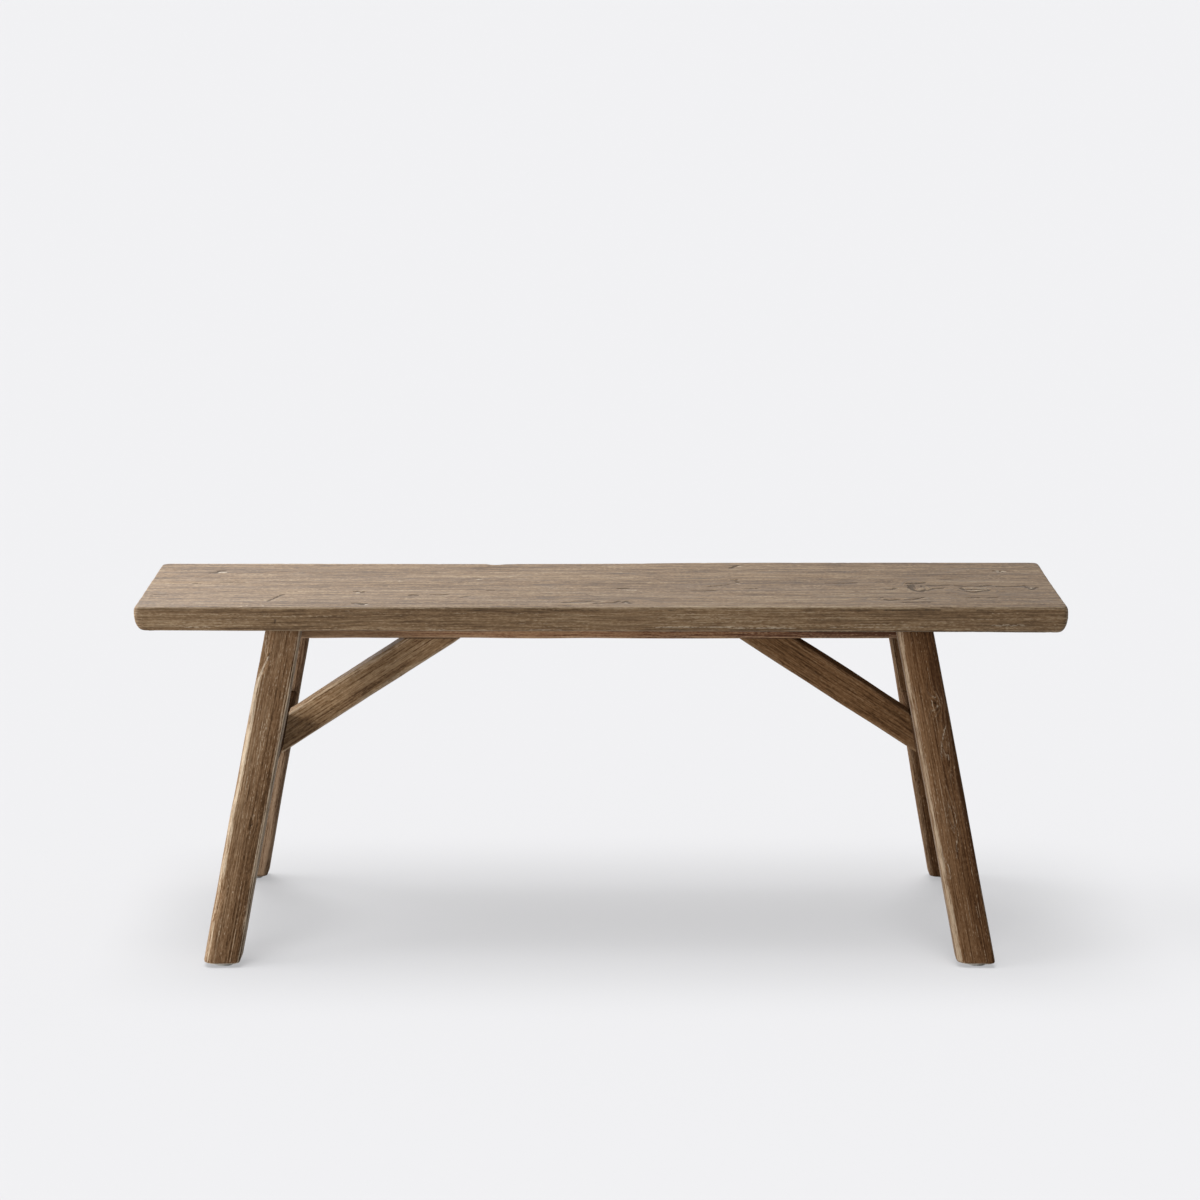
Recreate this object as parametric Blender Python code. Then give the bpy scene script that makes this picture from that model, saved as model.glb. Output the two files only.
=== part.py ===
"""A bed-end bench: a plank seat on two splayed leg frames, tied by a centre rail and braces.

Metres, +Z up. X runs along the bench, -Y is its front, and the origin lies on the floor
under the middle of the seat. "end" is -1 for the left end and 1 for the right end, and
"side" is -1 for the front and 1 for the rear.
"""
import math
from collections import namedtuple

import bmesh
import bpy
from mathutils import Vector

# Seat plank
SEAT_LENGTH = 1.195
SEAT_WIDTH = 0.350
SEAT_THICKNESS = 0.032
SEAT_HEIGHT = 0.452
SEAT_TOP_ROUND = 0.002
SEAT_LOWER_ROUND = 0.003
SEAT_NOSE_REACH = 0.012
SEAT_NOSE_RISE = 0.019
SEAT_PLAN_CORNER = 0.006

# Legs: square stock that leans out towards the end and towards the side
LEG_THICKNESS = 0.046
LEG_ARRIS = 0.006
LEG_TOP_FROM_END = 0.193
LEG_TOP_FROM_EDGE = 0.0505
LEG_END_SPLAY = math.radians(10.5)
LEG_SIDE_SPLAY = math.radians(15.65)
LEG_FOOT_EASE = 0.005
LEG_STUB_SIDE = 0.026
LEG_STUB_HEIGHT = 0.016

# Hewn facet on the outer front edge of the front left leg, under the seat
FACET_WIDTH = 0.013
FACET_LENGTH = 0.040
FACET_RUN_OUT = 0.036

# Top cross rails, between the tops of the legs of one end
TOP_RAIL_THICKNESS = 0.035
TOP_RAIL_DEPTH = 0.036
TOP_RAIL_ARRIS = 0.002
TOP_TENON_THICKNESS = 0.014
TOP_TENON_HEIGHT = 0.020
TOP_TENON_LENGTH = 0.022
TOP_TENON_DROP = 0.003

# Low cross stretchers, between the legs of one end
STRETCHER_BELOW_SEAT = 0.159
STRETCHER_THICKNESS = 0.040
STRETCHER_DEPTH = 0.050
STRETCHER_ARRIS = 0.003
STRETCHER_TENON_THICKNESS = 0.016
STRETCHER_TENON_HEIGHT = 0.032
STRETCHER_TENON_LENGTH = 0.024

# Centre rail, along the bench under the seat
CENTRE_RAIL_WIDTH = 0.040
CENTRE_RAIL_DEPTH = 0.036
CENTRE_RAIL_ARRIS = 0.002
CENTRE_TENON_WIDTH = 0.016
CENTRE_TENON_HEIGHT = 0.020
CENTRE_TENON_LENGTH = 0.018

# Braces, from the stretchers up to the centre rail
BRACE_WIDTH = 0.040
BRACE_DEPTH = 0.040
BRACE_ARRIS = 0.003
BRACE_SLOPE = math.radians(33.1)
BRACE_TENON_THICKNESS = 0.014
BRACE_TOP_TENON_RUN = 0.036
BRACE_TOP_TENON_HEIGHT = 0.012
BRACE_FOOT_TENON_HEIGHT = 0.026
BRACE_FOOT_TENON_LENGTH = 0.020

# Screws from the rails into the seat
SCREW_SHANK_RADIUS = 0.0024
SCREW_HEAD_RADIUS = 0.0050
SCREW_HEAD_HEIGHT = 0.0035
SCREW_HEAD_CHAMFER = 0.0008
SCREW_BITE = 0.019
SCREW_POINT = 0.006
SCREW_TIP_RADIUS = 0.0004
SCREW_SOCKET_RADIUS = 0.0026
SCREW_SOCKET_DEPTH = 0.0020
COUNTERBORE_DEPTH = 0.012
COUNTERBORE_CLEARANCE = 0.0010
TOP_SCREW_FROM_MIDDLE = 0.055

# Glides under the feet, and their nails
GLIDE_RADIUS = 0.012
GLIDE_THICKNESS = 0.004
GLIDE_CHAMFER = 0.0008
NAIL_SHANK_RADIUS = 0.0011
NAIL_HEAD_RADIUS = 0.0034
NAIL_HEAD_THICKNESS = 0.0010
NAIL_HEAD_CLEARANCE = 0.0006
NAIL_SINK = 0.0005
NAIL_LENGTH = 0.016
NAIL_POINT = 0.003
NAIL_TIP_RADIUS = 0.0003

# Clearances and cuts
GAP = 0.0003
TENON_ARRIS = 0.0015
CUT_OVERRUN = 0.004
MERGE_DISTANCE = 0.000001

# How finely round shapes are divided
ARRIS_STEPS = 3
SEAT_CORNER_STEPS = 4
SEAT_NOSE_STEPS = 7
SEAT_ROUND_STEPS = 3
FOOT_EASE_STEPS = 3
GLIDE_SEGMENTS = 28
SCREW_SEGMENTS = 18
NAIL_SEGMENTS = 12
SOCKET_SIDES = 6
SMOOTH_ANGLE = math.radians(40.0)

# Finishes: base colour, roughness, metallic
SEAT_FINISH = ("seat_wood", (0.262, 0.190, 0.133), 0.52, 0.0)
LEG_FINISH = ("leg_wood", (0.145, 0.092, 0.055), 0.50, 0.0)
RAIL_FINISH = ("rail_wood", (0.110, 0.062, 0.038), 0.55, 0.0)
BRACE_FINISH = ("brace_wood", (0.130, 0.082, 0.050), 0.52, 0.0)
GLIDE_FINISH = ("glide_nylon", (0.560, 0.560, 0.550), 0.60, 0.0)
SCREW_FINISH = ("screw_steel", (0.420, 0.410, 0.390), 0.35, 1.0)
NAIL_FINISH = ("nail_steel", (0.500, 0.500, 0.500), 0.30, 1.0)

# Places worked out from the sizes above
SEAT_UNDERSIDE = SEAT_HEIGHT - SEAT_THICKNESS
RAIL_TOP = SEAT_UNDERSIDE - GAP
TOP_RAIL_UNDERSIDE = RAIL_TOP - TOP_RAIL_DEPTH
CENTRE_RAIL_UNDERSIDE = RAIL_TOP - CENTRE_RAIL_DEPTH
STRETCHER_HEIGHT = SEAT_UNDERSIDE - STRETCHER_BELOW_SEAT
FOOT_HEIGHT = GLIDE_THICKNESS + GAP
LEG_TOP_X = SEAT_LENGTH / 2 - LEG_TOP_FROM_END
LEG_TOP_Y = SEAT_WIDTH / 2 - LEG_TOP_FROM_EDGE

X_AXIS = Vector((1.0, 0.0, 0.0))
Y_AXIS = Vector((0.0, 1.0, 0.0))
Z_AXIS = Vector((0.0, 0.0, 1.0))

# A length of stock: its middle, the two directions of its section, and its run.
Stock = namedtuple("Stock", "middle sideways upward along")

# A cutting plane: a point in it and its normal, which points into the mortised piece.
Plane = namedtuple("Plane", "point normal")


def clear_scene():
    for item in list(bpy.data.objects):
        bpy.data.objects.remove(item, do_unlink=True)


# Outlines

def rounded_rectangle(width, height, radius, steps=ARRIS_STEPS):
    """Points round a rectangle about (0, 0), counter-clockwise, with an arc at each corner."""
    radius = min(radius, width / 2, height / 2)
    points = []
    for turn, (right, up) in enumerate(((1, -1), (1, 1), (-1, 1), (-1, -1))):
        centre_x = right * (width / 2 - radius)
        centre_y = up * (height / 2 - radius)
        for step in range(steps + 1):
            angle = math.pi / 2 * (turn - 1 + step / steps)
            points.append((centre_x + radius * math.cos(angle),
                           centre_y + radius * math.sin(angle)))
    return points


def regular_polygon(radius, sides):
    angles = [2 * math.pi * side / sides for side in range(sides)]
    return [(radius * math.cos(angle), radius * math.sin(angle)) for angle in angles]


def grown_tenon(width, height):
    """The outline of a tenon's mortise: the tenon with the joint's gap all round."""
    return rounded_rectangle(width + 2 * GAP, height + 2 * GAP, TENON_ARRIS)


# Planes and rings

def moved(plane, distance):
    return Plane(plane.point + plane.normal * distance, plane.normal)


def level(height):
    return Plane(Z_AXIS * height, Z_AXIS)


def ring(stock, outline, plane):
    """The outline round the stock's middle, each point carried along the run to the plane."""
    points = []
    for across, up in outline:
        start = stock.middle + stock.sideways * across + stock.upward * up
        travel = (plane.point - start).dot(plane.normal) / stock.along.dot(plane.normal)
        points.append(start + stock.along * travel)
    return points


# Objects

def add_object(name, form, pivot):
    """Puts a bmesh built in world places into an object whose origin is the pivot."""
    bmesh.ops.recalc_face_normals(form, faces=form.faces)
    bmesh.ops.translate(form, verts=form.verts, vec=-pivot)
    mesh = bpy.data.meshes.new(name)
    form.to_mesh(mesh)
    form.free()
    mesh.shade_smooth()
    mesh.set_sharp_from_angle(angle=SMOOTH_ANGLE)
    item = bpy.data.objects.new(name, mesh)
    item.location = pivot
    bpy.context.scene.collection.objects.link(item)
    return item


def lofted(name, rings, pivot):
    """A closed solid through rings of equally many points, with flat caps."""
    form = bmesh.new()
    loops = [[form.verts.new(point) for point in points] for points in rings]
    for lower, upper in zip(loops, loops[1:]):
        for first in range(len(lower)):
            second = (first + 1) % len(lower)
            form.faces.new((lower[first], lower[second], upper[second], upper[first]))
    form.faces.new(loops[0])
    form.faces.new(loops[-1])
    return add_object(name, form, pivot)


def turned(name, profile, segments, pivot, closed=False):
    """A solid spun about the upright line through the pivot, from (radius, height) points.

    An open profile starts and ends on the line, and a closed one goes round a hole.
    """
    form = bmesh.new()
    points = [form.verts.new(pivot + X_AXIS * radius + Z_AXIS * height)
              for radius, height in profile]
    edges = [form.edges.new(pair) for pair in zip(points, points[1:])]
    if closed:
        edges.append(form.edges.new((points[-1], points[0])))
    bmesh.ops.spin(form, geom=points + edges, cent=pivot, axis=Z_AXIS,
                   angle=2 * math.pi, steps=segments)
    bmesh.ops.remove_doubles(form, verts=form.verts, dist=MERGE_DISTANCE)
    return add_object(name, form, pivot)


def finish(item, look):
    """Gives the object a material of its own."""
    look_name, colour, roughness, metallic = look
    material = bpy.data.materials.new(f"{item.name}_{look_name}")
    material.use_nodes = True
    shader = material.node_tree.nodes["Principled BSDF"]
    shader.inputs["Base Color"].default_value = (*colour, 1.0)
    shader.inputs["Roughness"].default_value = roughness
    shader.inputs["Metallic"].default_value = metallic
    item.data.materials.append(material)
    return item


def cut(item, cutter):
    """Takes the cutter's shape out of the object."""
    cutter.hide_render = True
    cutter.display_type = "WIRE"
    carve = item.modifiers.new(cutter.name, "BOOLEAN")
    carve.operation = "DIFFERENCE"
    carve.solver = "EXACT"
    carve.object = cutter


# The lines and faces that the pieces share

def frame_point(end, height):
    """The middle of an end frame, at the given height."""
    run_out = (SEAT_UNDERSIDE - height) * math.tan(LEG_END_SPLAY)
    return Vector((end * (LEG_TOP_X + run_out), 0.0, height))


def frame_normal(end):
    """Square to an end frame, pointing away from the middle of the bench."""
    return Vector((end * math.cos(LEG_END_SPLAY), 0.0, math.sin(LEG_END_SPLAY)))


def frame_slope(end):
    """Up the slope of an end frame."""
    return Vector((-end * math.sin(LEG_END_SPLAY), 0.0, math.cos(LEG_END_SPLAY)))


def leg_stock(end, side):
    top = Vector((end * LEG_TOP_X, side * LEG_TOP_Y, SEAT_UNDERSIDE))
    run = Vector((-end * math.tan(LEG_END_SPLAY), -side * math.tan(LEG_SIDE_SPLAY), 1.0))
    run.normalize()
    outward = frame_normal(end)
    return Stock(top, outward, end * side * run.cross(outward), run)


def leg_point(end, side, height):
    """The middle of a leg at the given height."""
    stock = leg_stock(end, side)
    return stock.middle + stock.along * ((height - stock.middle.z) / stock.along.z)


def leg_inner_face(end, side):
    """The face of a leg that looks at the other leg of its frame."""
    stock = leg_stock(end, side)
    return Plane(stock.middle - stock.upward * (LEG_THICKNESS / 2), stock.upward)


def top_rail_stock(end):
    """Its sides follow the frame's slope, and its top lies flat under the seat."""
    middle = frame_point(end, RAIL_TOP - TOP_RAIL_DEPTH / 2)
    lean = frame_slope(end) / math.cos(LEG_END_SPLAY)
    return Stock(middle, X_AXIS / math.cos(LEG_END_SPLAY), lean, Y_AXIS)


def top_tenon_stock(end):
    stock = top_rail_stock(end)
    return stock._replace(middle=stock.middle - stock.upward * TOP_TENON_DROP)


def top_rail_inner_face(end):
    """The face of a top rail that looks at the middle of the bench."""
    middle = top_rail_stock(end).middle
    return Plane(middle - frame_normal(end) * (TOP_RAIL_THICKNESS / 2), frame_normal(end))


def stretcher_stock(end):
    middle = frame_point(end, STRETCHER_HEIGHT)
    return Stock(middle, frame_normal(end), frame_slope(end), Y_AXIS)


def stretcher_inner_face(end):
    middle = frame_point(end, STRETCHER_HEIGHT)
    return Plane(middle - frame_normal(end) * (STRETCHER_THICKNESS / 2), frame_normal(end))


def centre_rail_stock():
    return Stock(Z_AXIS * (RAIL_TOP - CENTRE_RAIL_DEPTH / 2), Y_AXIS, Z_AXIS, X_AXIS)


def brace_stock(end):
    """The run of a brace, up from the middle of the stretcher's inner face."""
    along = Vector((-end * math.cos(BRACE_SLOPE), 0.0, math.sin(BRACE_SLOPE)))
    upward = Vector((end * math.sin(BRACE_SLOPE), 0.0, math.cos(BRACE_SLOPE)))
    return Stock(stretcher_inner_face(end).point, Y_AXIS, upward, along)


def brace_top(end):
    """Where a brace's middle line meets the centre rail."""
    stock = brace_stock(end)
    rise = CENTRE_RAIL_UNDERSIDE - stock.middle.z
    return stock.middle + stock.along * (rise / stock.along.z)


def brace_top_tenon_stock(end):
    return Stock(brace_top(end), Y_AXIS, end * X_AXIS, Z_AXIS)


def brace_foot_tenon_stock(end):
    return Stock(stretcher_inner_face(end).point, Y_AXIS, Z_AXIS, X_AXIS)


# The seat

def nose_inset(height, reach, rise):
    """How far a rounded lower edge draws in at a height above the seat's underside."""
    if height >= rise:
        return 0.0
    return reach * (1 - math.sqrt(1 - (1 - height / rise) ** 2))


def seat_levels():
    """Heights above the underside at which the seat's outline is drawn."""
    levels = {0.0}
    for step in range(SEAT_NOSE_STEPS + 1):
        angle = math.pi / 2 * step / SEAT_NOSE_STEPS
        levels.add(SEAT_NOSE_RISE * (1 - math.cos(angle)))
    for step in range(SEAT_ROUND_STEPS + 1):
        angle = math.pi / 2 * step / SEAT_ROUND_STEPS
        levels.add(SEAT_LOWER_ROUND * (1 - math.cos(angle)))
        levels.add(SEAT_THICKNESS - SEAT_TOP_ROUND * (1 - math.sin(angle)))
    return sorted(levels)


def seat_plank():
    rings = []
    for height in seat_levels():
        below_top = SEAT_THICKNESS - height
        top_inset = nose_inset(below_top, SEAT_TOP_ROUND, SEAT_TOP_ROUND)
        end_inset = nose_inset(height, SEAT_NOSE_REACH, SEAT_NOSE_RISE) + top_inset
        side_inset = nose_inset(height, SEAT_LOWER_ROUND, SEAT_LOWER_ROUND) + top_inset
        outline = rounded_rectangle(SEAT_LENGTH - 2 * end_inset, SEAT_WIDTH - 2 * side_inset,
                                    SEAT_PLAN_CORNER, SEAT_CORNER_STEPS)
        rings.append([Vector((x, y, SEAT_UNDERSIDE + height)) for x, y in outline])
    return finish(lofted("seat_plank", rings, Z_AXIS * SEAT_UNDERSIDE), SEAT_FINISH)


def cut_leg_mortise(seat, end, side):
    """A blind mortise in the seat's underside for a leg's stub."""
    stub = grown_tenon(LEG_STUB_SIDE, LEG_STUB_SIDE)
    stock = Stock(leg_point(end, side, RAIL_TOP), X_AXIS, Y_AXIS, Z_AXIS)
    bottom = level(SEAT_UNDERSIDE - CUT_OVERRUN)
    top = level(SEAT_UNDERSIDE + LEG_STUB_HEIGHT + GAP)
    rings = [ring(stock, stub, bottom), ring(stock, stub, top)]
    cut(seat, lofted(f"{leg_name(end, side)}_mortise", rings, stock.middle))


# The legs

def end_word(end):
    return "left" if end < 0 else "right"


def leg_name(end, side):
    depth_word = "front" if side < 0 else "rear"
    return f"{depth_word}_{end_word(end)}"


def foot_rings(stock):
    """Rings up the eased bottom edge of a foot."""
    rings = []
    for step in range(FOOT_EASE_STEPS):
        angle = math.pi / 2 * step / FOOT_EASE_STEPS
        thickness = LEG_THICKNESS - 2 * LEG_FOOT_EASE * (1 - math.sin(angle))
        arris = LEG_ARRIS * thickness / LEG_THICKNESS
        height = FOOT_HEIGHT + LEG_FOOT_EASE * (1 - math.cos(angle))
        rings.append(ring(stock, rounded_rectangle(thickness, thickness, arris), level(height)))
    return rings


def leg(end, side):
    stock = leg_stock(end, side)
    section = rounded_rectangle(LEG_THICKNESS, LEG_THICKNESS, LEG_ARRIS)
    rings = foot_rings(stock)
    rings.append(ring(stock, section, level(FOOT_HEIGHT + LEG_FOOT_EASE)))
    rings.append(ring(stock, section, level(RAIL_TOP)))
    stub_stock = Stock(leg_point(end, side, RAIL_TOP), end * X_AXIS, side * Y_AXIS, Z_AXIS)
    stub = rounded_rectangle(LEG_STUB_SIDE, LEG_STUB_SIDE, TENON_ARRIS)
    rings.append(ring(stub_stock, stub, level(RAIL_TOP)))
    rings.append(ring(stub_stock, stub, level(SEAT_UNDERSIDE + LEG_STUB_HEIGHT)))
    return finish(lofted(f"{leg_name(end, side)}_leg", rings, stock.middle), LEG_FINISH)


def cut_tenon_mortise(item, stock, width, height, face, length):
    """A mortise for a tenon that enters a face of the object by its length."""
    outline = grown_tenon(width, height)
    mouth = ring(stock, outline, moved(face, -CUT_OVERRUN))
    floor = ring(stock, outline, moved(face, length + GAP))
    number = len(item.modifiers)
    cut(item, lofted(f"{item.name}_mortise_{number}", [mouth, floor], face.point))


def cut_leg_joints(item, end, side):
    """Mortises for the rail and the stretcher, and the hole for the glide's nail."""
    face = leg_inner_face(end, side)
    cut_tenon_mortise(item, top_tenon_stock(end), TOP_TENON_THICKNESS, TOP_TENON_HEIGHT,
                      face, TOP_TENON_LENGTH)
    cut_tenon_mortise(item, stretcher_stock(end), STRETCHER_TENON_THICKNESS,
                      STRETCHER_TENON_HEIGHT, face, STRETCHER_TENON_LENGTH)
    foot = leg_point(end, side, FOOT_HEIGHT)
    radius = NAIL_SHANK_RADIUS + GAP
    profile = [(0.0, -CUT_OVERRUN), (radius, -CUT_OVERRUN), (radius, NAIL_LENGTH + GAP),
               (0.0, NAIL_LENGTH + GAP)]
    cut(item, turned(f"{item.name}_nail_hole", profile, NAIL_SEGMENTS, foot))


def cut_hewn_facet(item, end, side):
    """A flat cut over the outer front edge, which runs out to nothing down the leg."""
    stock = leg_stock(end, side)
    corner = LEG_THICKNESS / 2
    reach = corner + CUT_OVERRUN

    def corner_triangle(width):
        near = corner - width - CUT_OVERRUN
        return [(near, reach), (reach, near), (reach, reach)]

    stop = SEAT_UNDERSIDE - FACET_LENGTH
    rings = [ring(stock, corner_triangle(FACET_WIDTH), level(SEAT_UNDERSIDE + CUT_OVERRUN)),
             ring(stock, corner_triangle(FACET_WIDTH), level(stop)),
             ring(stock, corner_triangle(0.0), level(stop - FACET_RUN_OUT))]
    cut(item, lofted(f"{item.name}_facet", rings, stock.middle))


# Rails, stretchers and braces

def tenoned_rail(name, stock, section, tenon_stock, tenon, faces, length, look):
    """A rail between two faces, with a tenon past each. The faces run from start to end."""
    start, finish_face = faces
    rings = [ring(tenon_stock, tenon, moved(start, length)),
             ring(tenon_stock, tenon, moved(start, -GAP)),
             ring(stock, section, moved(start, -GAP)),
             ring(stock, section, moved(finish_face, -GAP)),
             ring(tenon_stock, tenon, moved(finish_face, -GAP)),
             ring(tenon_stock, tenon, moved(finish_face, length))]
    return finish(lofted(name, rings, stock.middle), look)


def top_rail(end):
    section = rounded_rectangle(TOP_RAIL_THICKNESS, TOP_RAIL_DEPTH, TOP_RAIL_ARRIS)
    tenon = rounded_rectangle(TOP_TENON_THICKNESS, TOP_TENON_HEIGHT, TENON_ARRIS)
    faces = (leg_inner_face(end, -1), leg_inner_face(end, 1))
    rail = tenoned_rail(f"{end_word(end)}_top_rail", top_rail_stock(end), section,
                        top_tenon_stock(end), tenon, faces, TOP_TENON_LENGTH, RAIL_FINISH)
    cut_tenon_mortise(rail, centre_rail_stock(), CENTRE_TENON_WIDTH, CENTRE_TENON_HEIGHT,
                      top_rail_inner_face(end), CENTRE_TENON_LENGTH)
    return rail


def stretcher(end):
    section = rounded_rectangle(STRETCHER_THICKNESS, STRETCHER_DEPTH, STRETCHER_ARRIS)
    tenon = rounded_rectangle(STRETCHER_TENON_THICKNESS, STRETCHER_TENON_HEIGHT, TENON_ARRIS)
    faces = (leg_inner_face(end, -1), leg_inner_face(end, 1))
    item = tenoned_rail(f"{end_word(end)}_stretcher", stretcher_stock(end), section,
                        stretcher_stock(end), tenon, faces, STRETCHER_TENON_LENGTH, RAIL_FINISH)
    cut_tenon_mortise(item, brace_foot_tenon_stock(end), BRACE_TENON_THICKNESS,
                      BRACE_FOOT_TENON_HEIGHT, stretcher_inner_face(end),
                      BRACE_FOOT_TENON_LENGTH)
    return item


def centre_rail():
    section = rounded_rectangle(CENTRE_RAIL_WIDTH, CENTRE_RAIL_DEPTH, CENTRE_RAIL_ARRIS)
    tenon = rounded_rectangle(CENTRE_TENON_WIDTH, CENTRE_TENON_HEIGHT, TENON_ARRIS)
    faces = (top_rail_inner_face(-1), top_rail_inner_face(1))
    rail = tenoned_rail("centre_rail", centre_rail_stock(), section, centre_rail_stock(),
                        tenon, faces, CENTRE_TENON_LENGTH, RAIL_FINISH)
    for end in (-1, 1):
        cut_tenon_mortise(rail, brace_top_tenon_stock(end), BRACE_TENON_THICKNESS,
                          BRACE_TOP_TENON_RUN, level(CENTRE_RAIL_UNDERSIDE),
                          BRACE_TOP_TENON_HEIGHT)
    return rail


def brace(end):
    stock = brace_stock(end)
    section = rounded_rectangle(BRACE_WIDTH, BRACE_DEPTH, BRACE_ARRIS)
    foot_tenon = rounded_rectangle(BRACE_TENON_THICKNESS, BRACE_FOOT_TENON_HEIGHT, TENON_ARRIS)
    top_tenon = rounded_rectangle(BRACE_TENON_THICKNESS, BRACE_TOP_TENON_RUN, TENON_ARRIS)
    foot_stock = brace_foot_tenon_stock(end)
    top_stock = brace_top_tenon_stock(end)
    foot_face = stretcher_inner_face(end)
    top_face = level(CENTRE_RAIL_UNDERSIDE)
    rings = [ring(foot_stock, foot_tenon, moved(foot_face, BRACE_FOOT_TENON_LENGTH)),
             ring(foot_stock, foot_tenon, moved(foot_face, -GAP)),
             ring(stock, section, moved(foot_face, -GAP)),
             ring(stock, section, moved(top_face, -GAP)),
             ring(top_stock, top_tenon, moved(top_face, -GAP)),
             ring(top_stock, top_tenon, moved(top_face, BRACE_TOP_TENON_HEIGHT))]
    return finish(lofted(f"{end_word(end)}_brace", rings, stock.middle), BRACE_FINISH)


# Screws

def screw(name, rail, seat, place, rail_underside):
    """A screw up through a rail into the seat, with its counterbore and pilot hole."""
    seat_floor = rail_underside + COUNTERBORE_DEPTH
    head_top = seat_floor - GAP
    pivot = Vector((place.x, place.y, head_top))
    tip = SEAT_UNDERSIDE + SCREW_BITE - head_top
    profile = [(0.0, -SCREW_HEAD_HEIGHT),
               (SCREW_HEAD_RADIUS - SCREW_HEAD_CHAMFER, -SCREW_HEAD_HEIGHT),
               (SCREW_HEAD_RADIUS, -SCREW_HEAD_HEIGHT + SCREW_HEAD_CHAMFER),
               (SCREW_HEAD_RADIUS, 0.0),
               (SCREW_SHANK_RADIUS, 0.0),
               (SCREW_SHANK_RADIUS, tip - SCREW_POINT),
               (SCREW_TIP_RADIUS, tip),
               (0.0, tip)]
    item = finish(turned(name, profile, SCREW_SEGMENTS, pivot), SCREW_FINISH)

    socket_stock = Stock(pivot, X_AXIS, Y_AXIS, Z_AXIS)
    socket = regular_polygon(SCREW_SOCKET_RADIUS, SOCKET_SIDES)
    mouth = level(head_top - SCREW_HEAD_HEIGHT - CUT_OVERRUN)
    floor = level(head_top - SCREW_HEAD_HEIGHT + SCREW_SOCKET_DEPTH)
    rings = [ring(socket_stock, socket, mouth), ring(socket_stock, socket, floor)]
    cut(item, lofted(f"{name}_socket", rings, pivot))

    bore = SCREW_HEAD_RADIUS + COUNTERBORE_CLEARANCE
    hole = SCREW_SHANK_RADIUS + GAP
    base = Vector((place.x, place.y, rail_underside))
    rail_top = RAIL_TOP - rail_underside + CUT_OVERRUN
    profile = [(0.0, -CUT_OVERRUN), (bore, -CUT_OVERRUN), (bore, COUNTERBORE_DEPTH),
               (hole, COUNTERBORE_DEPTH), (hole, rail_top), (0.0, rail_top)]
    cut(rail, turned(f"{name}_counterbore", profile, SCREW_SEGMENTS, base))

    mouth_point = Vector((place.x, place.y, SEAT_UNDERSIDE))
    profile = [(0.0, -CUT_OVERRUN), (hole, -CUT_OVERRUN), (hole, SCREW_BITE + GAP),
               (0.0, SCREW_BITE + GAP)]
    cut(seat, turned(f"{name}_pilot", profile, SCREW_SEGMENTS, mouth_point))


def top_rail_screws(seat, rail, end):
    middle = top_rail_stock(end).middle
    for side in (-1, 1):
        place = middle + Y_AXIS * (side * TOP_SCREW_FROM_MIDDLE)
        screw(f"{leg_name(end, side)}_seat_screw", rail, seat, place, TOP_RAIL_UNDERSIDE)


def centre_rail_screws(seat, rail):
    """One in the middle, and one midway between each brace and its top rail."""
    screw("middle_seat_screw", rail, seat, Vector((0.0, 0.0, 0.0)), CENTRE_RAIL_UNDERSIDE)
    brace_half_run = BRACE_DEPTH / 2 / math.sin(BRACE_SLOPE)
    for end in (-1, 1):
        brace_edge = abs(brace_top(end).x) + brace_half_run
        rail_edge = abs(top_rail_inner_face(end).point.x)
        place = X_AXIS * (end * (brace_edge + rail_edge) / 2)
        screw(f"{end_word(end)}_rail_screw", rail, seat, place, CENTRE_RAIL_UNDERSIDE)


# Glides

def glide(end, side):
    """A round glide with a sunk hole, on the floor under the middle of a foot."""
    foot = leg_point(end, side, FOOT_HEIGHT)
    floor_point = Vector((foot.x, foot.y, 0.0))
    sink_radius = NAIL_HEAD_RADIUS + NAIL_HEAD_CLEARANCE
    sink_height = NAIL_SINK + NAIL_HEAD_THICKNESS + GAP
    hole = NAIL_SHANK_RADIUS + GAP
    profile = [(sink_radius, 0.0),
               (GLIDE_RADIUS - GLIDE_CHAMFER, 0.0),
               (GLIDE_RADIUS, GLIDE_CHAMFER),
               (GLIDE_RADIUS, GLIDE_THICKNESS),
               (hole, GLIDE_THICKNESS),
               (hole, sink_height),
               (sink_radius, sink_height)]
    item = turned(f"{leg_name(end, side)}_glide", profile, GLIDE_SEGMENTS, floor_point,
                  closed=True)
    return finish(item, GLIDE_FINISH)


def glide_nail(end, side):
    foot = leg_point(end, side, FOOT_HEIGHT)
    pivot = Vector((foot.x, foot.y, NAIL_SINK))
    tip = FOOT_HEIGHT + NAIL_LENGTH - NAIL_SINK
    profile = [(0.0, 0.0),
               (NAIL_HEAD_RADIUS, 0.0),
               (NAIL_HEAD_RADIUS, NAIL_HEAD_THICKNESS),
               (NAIL_SHANK_RADIUS, NAIL_HEAD_THICKNESS),
               (NAIL_SHANK_RADIUS, tip - NAIL_POINT),
               (NAIL_TIP_RADIUS, tip),
               (0.0, tip)]
    item = turned(f"{leg_name(end, side)}_glide_nail", profile, NAIL_SEGMENTS, pivot)
    return finish(item, NAIL_FINISH)


def build_bench():
    clear_scene()
    seat = seat_plank()
    middle_rail = centre_rail()
    centre_rail_screws(seat, middle_rail)
    for end in (-1, 1):
        rail = top_rail(end)
        top_rail_screws(seat, rail, end)
        stretcher(end)
        brace(end)
        for side in (-1, 1):
            item = leg(end, side)
            cut_leg_joints(item, end, side)
            cut_leg_mortise(seat, end, side)
            glide(end, side)
            glide_nail(end, side)
            if end < 0 and side < 0:
                cut_hewn_facet(item, end, side)


build_bench()
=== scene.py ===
# %% [markdown]
# # A wooden bench for the end of a bed
# The bench is a thick plank on four splayed legs, tied by rails, stretchers and two diagonal
# braces. The CAD part already has its sizes and joints, so this lesson only dresses it, with
# brushed grain, worn edges, knots, a floor, soft light and a camera. The pieces could be sculpted
# by hand, but shapes worked out from formulas stay exact and come out the same every time.

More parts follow.
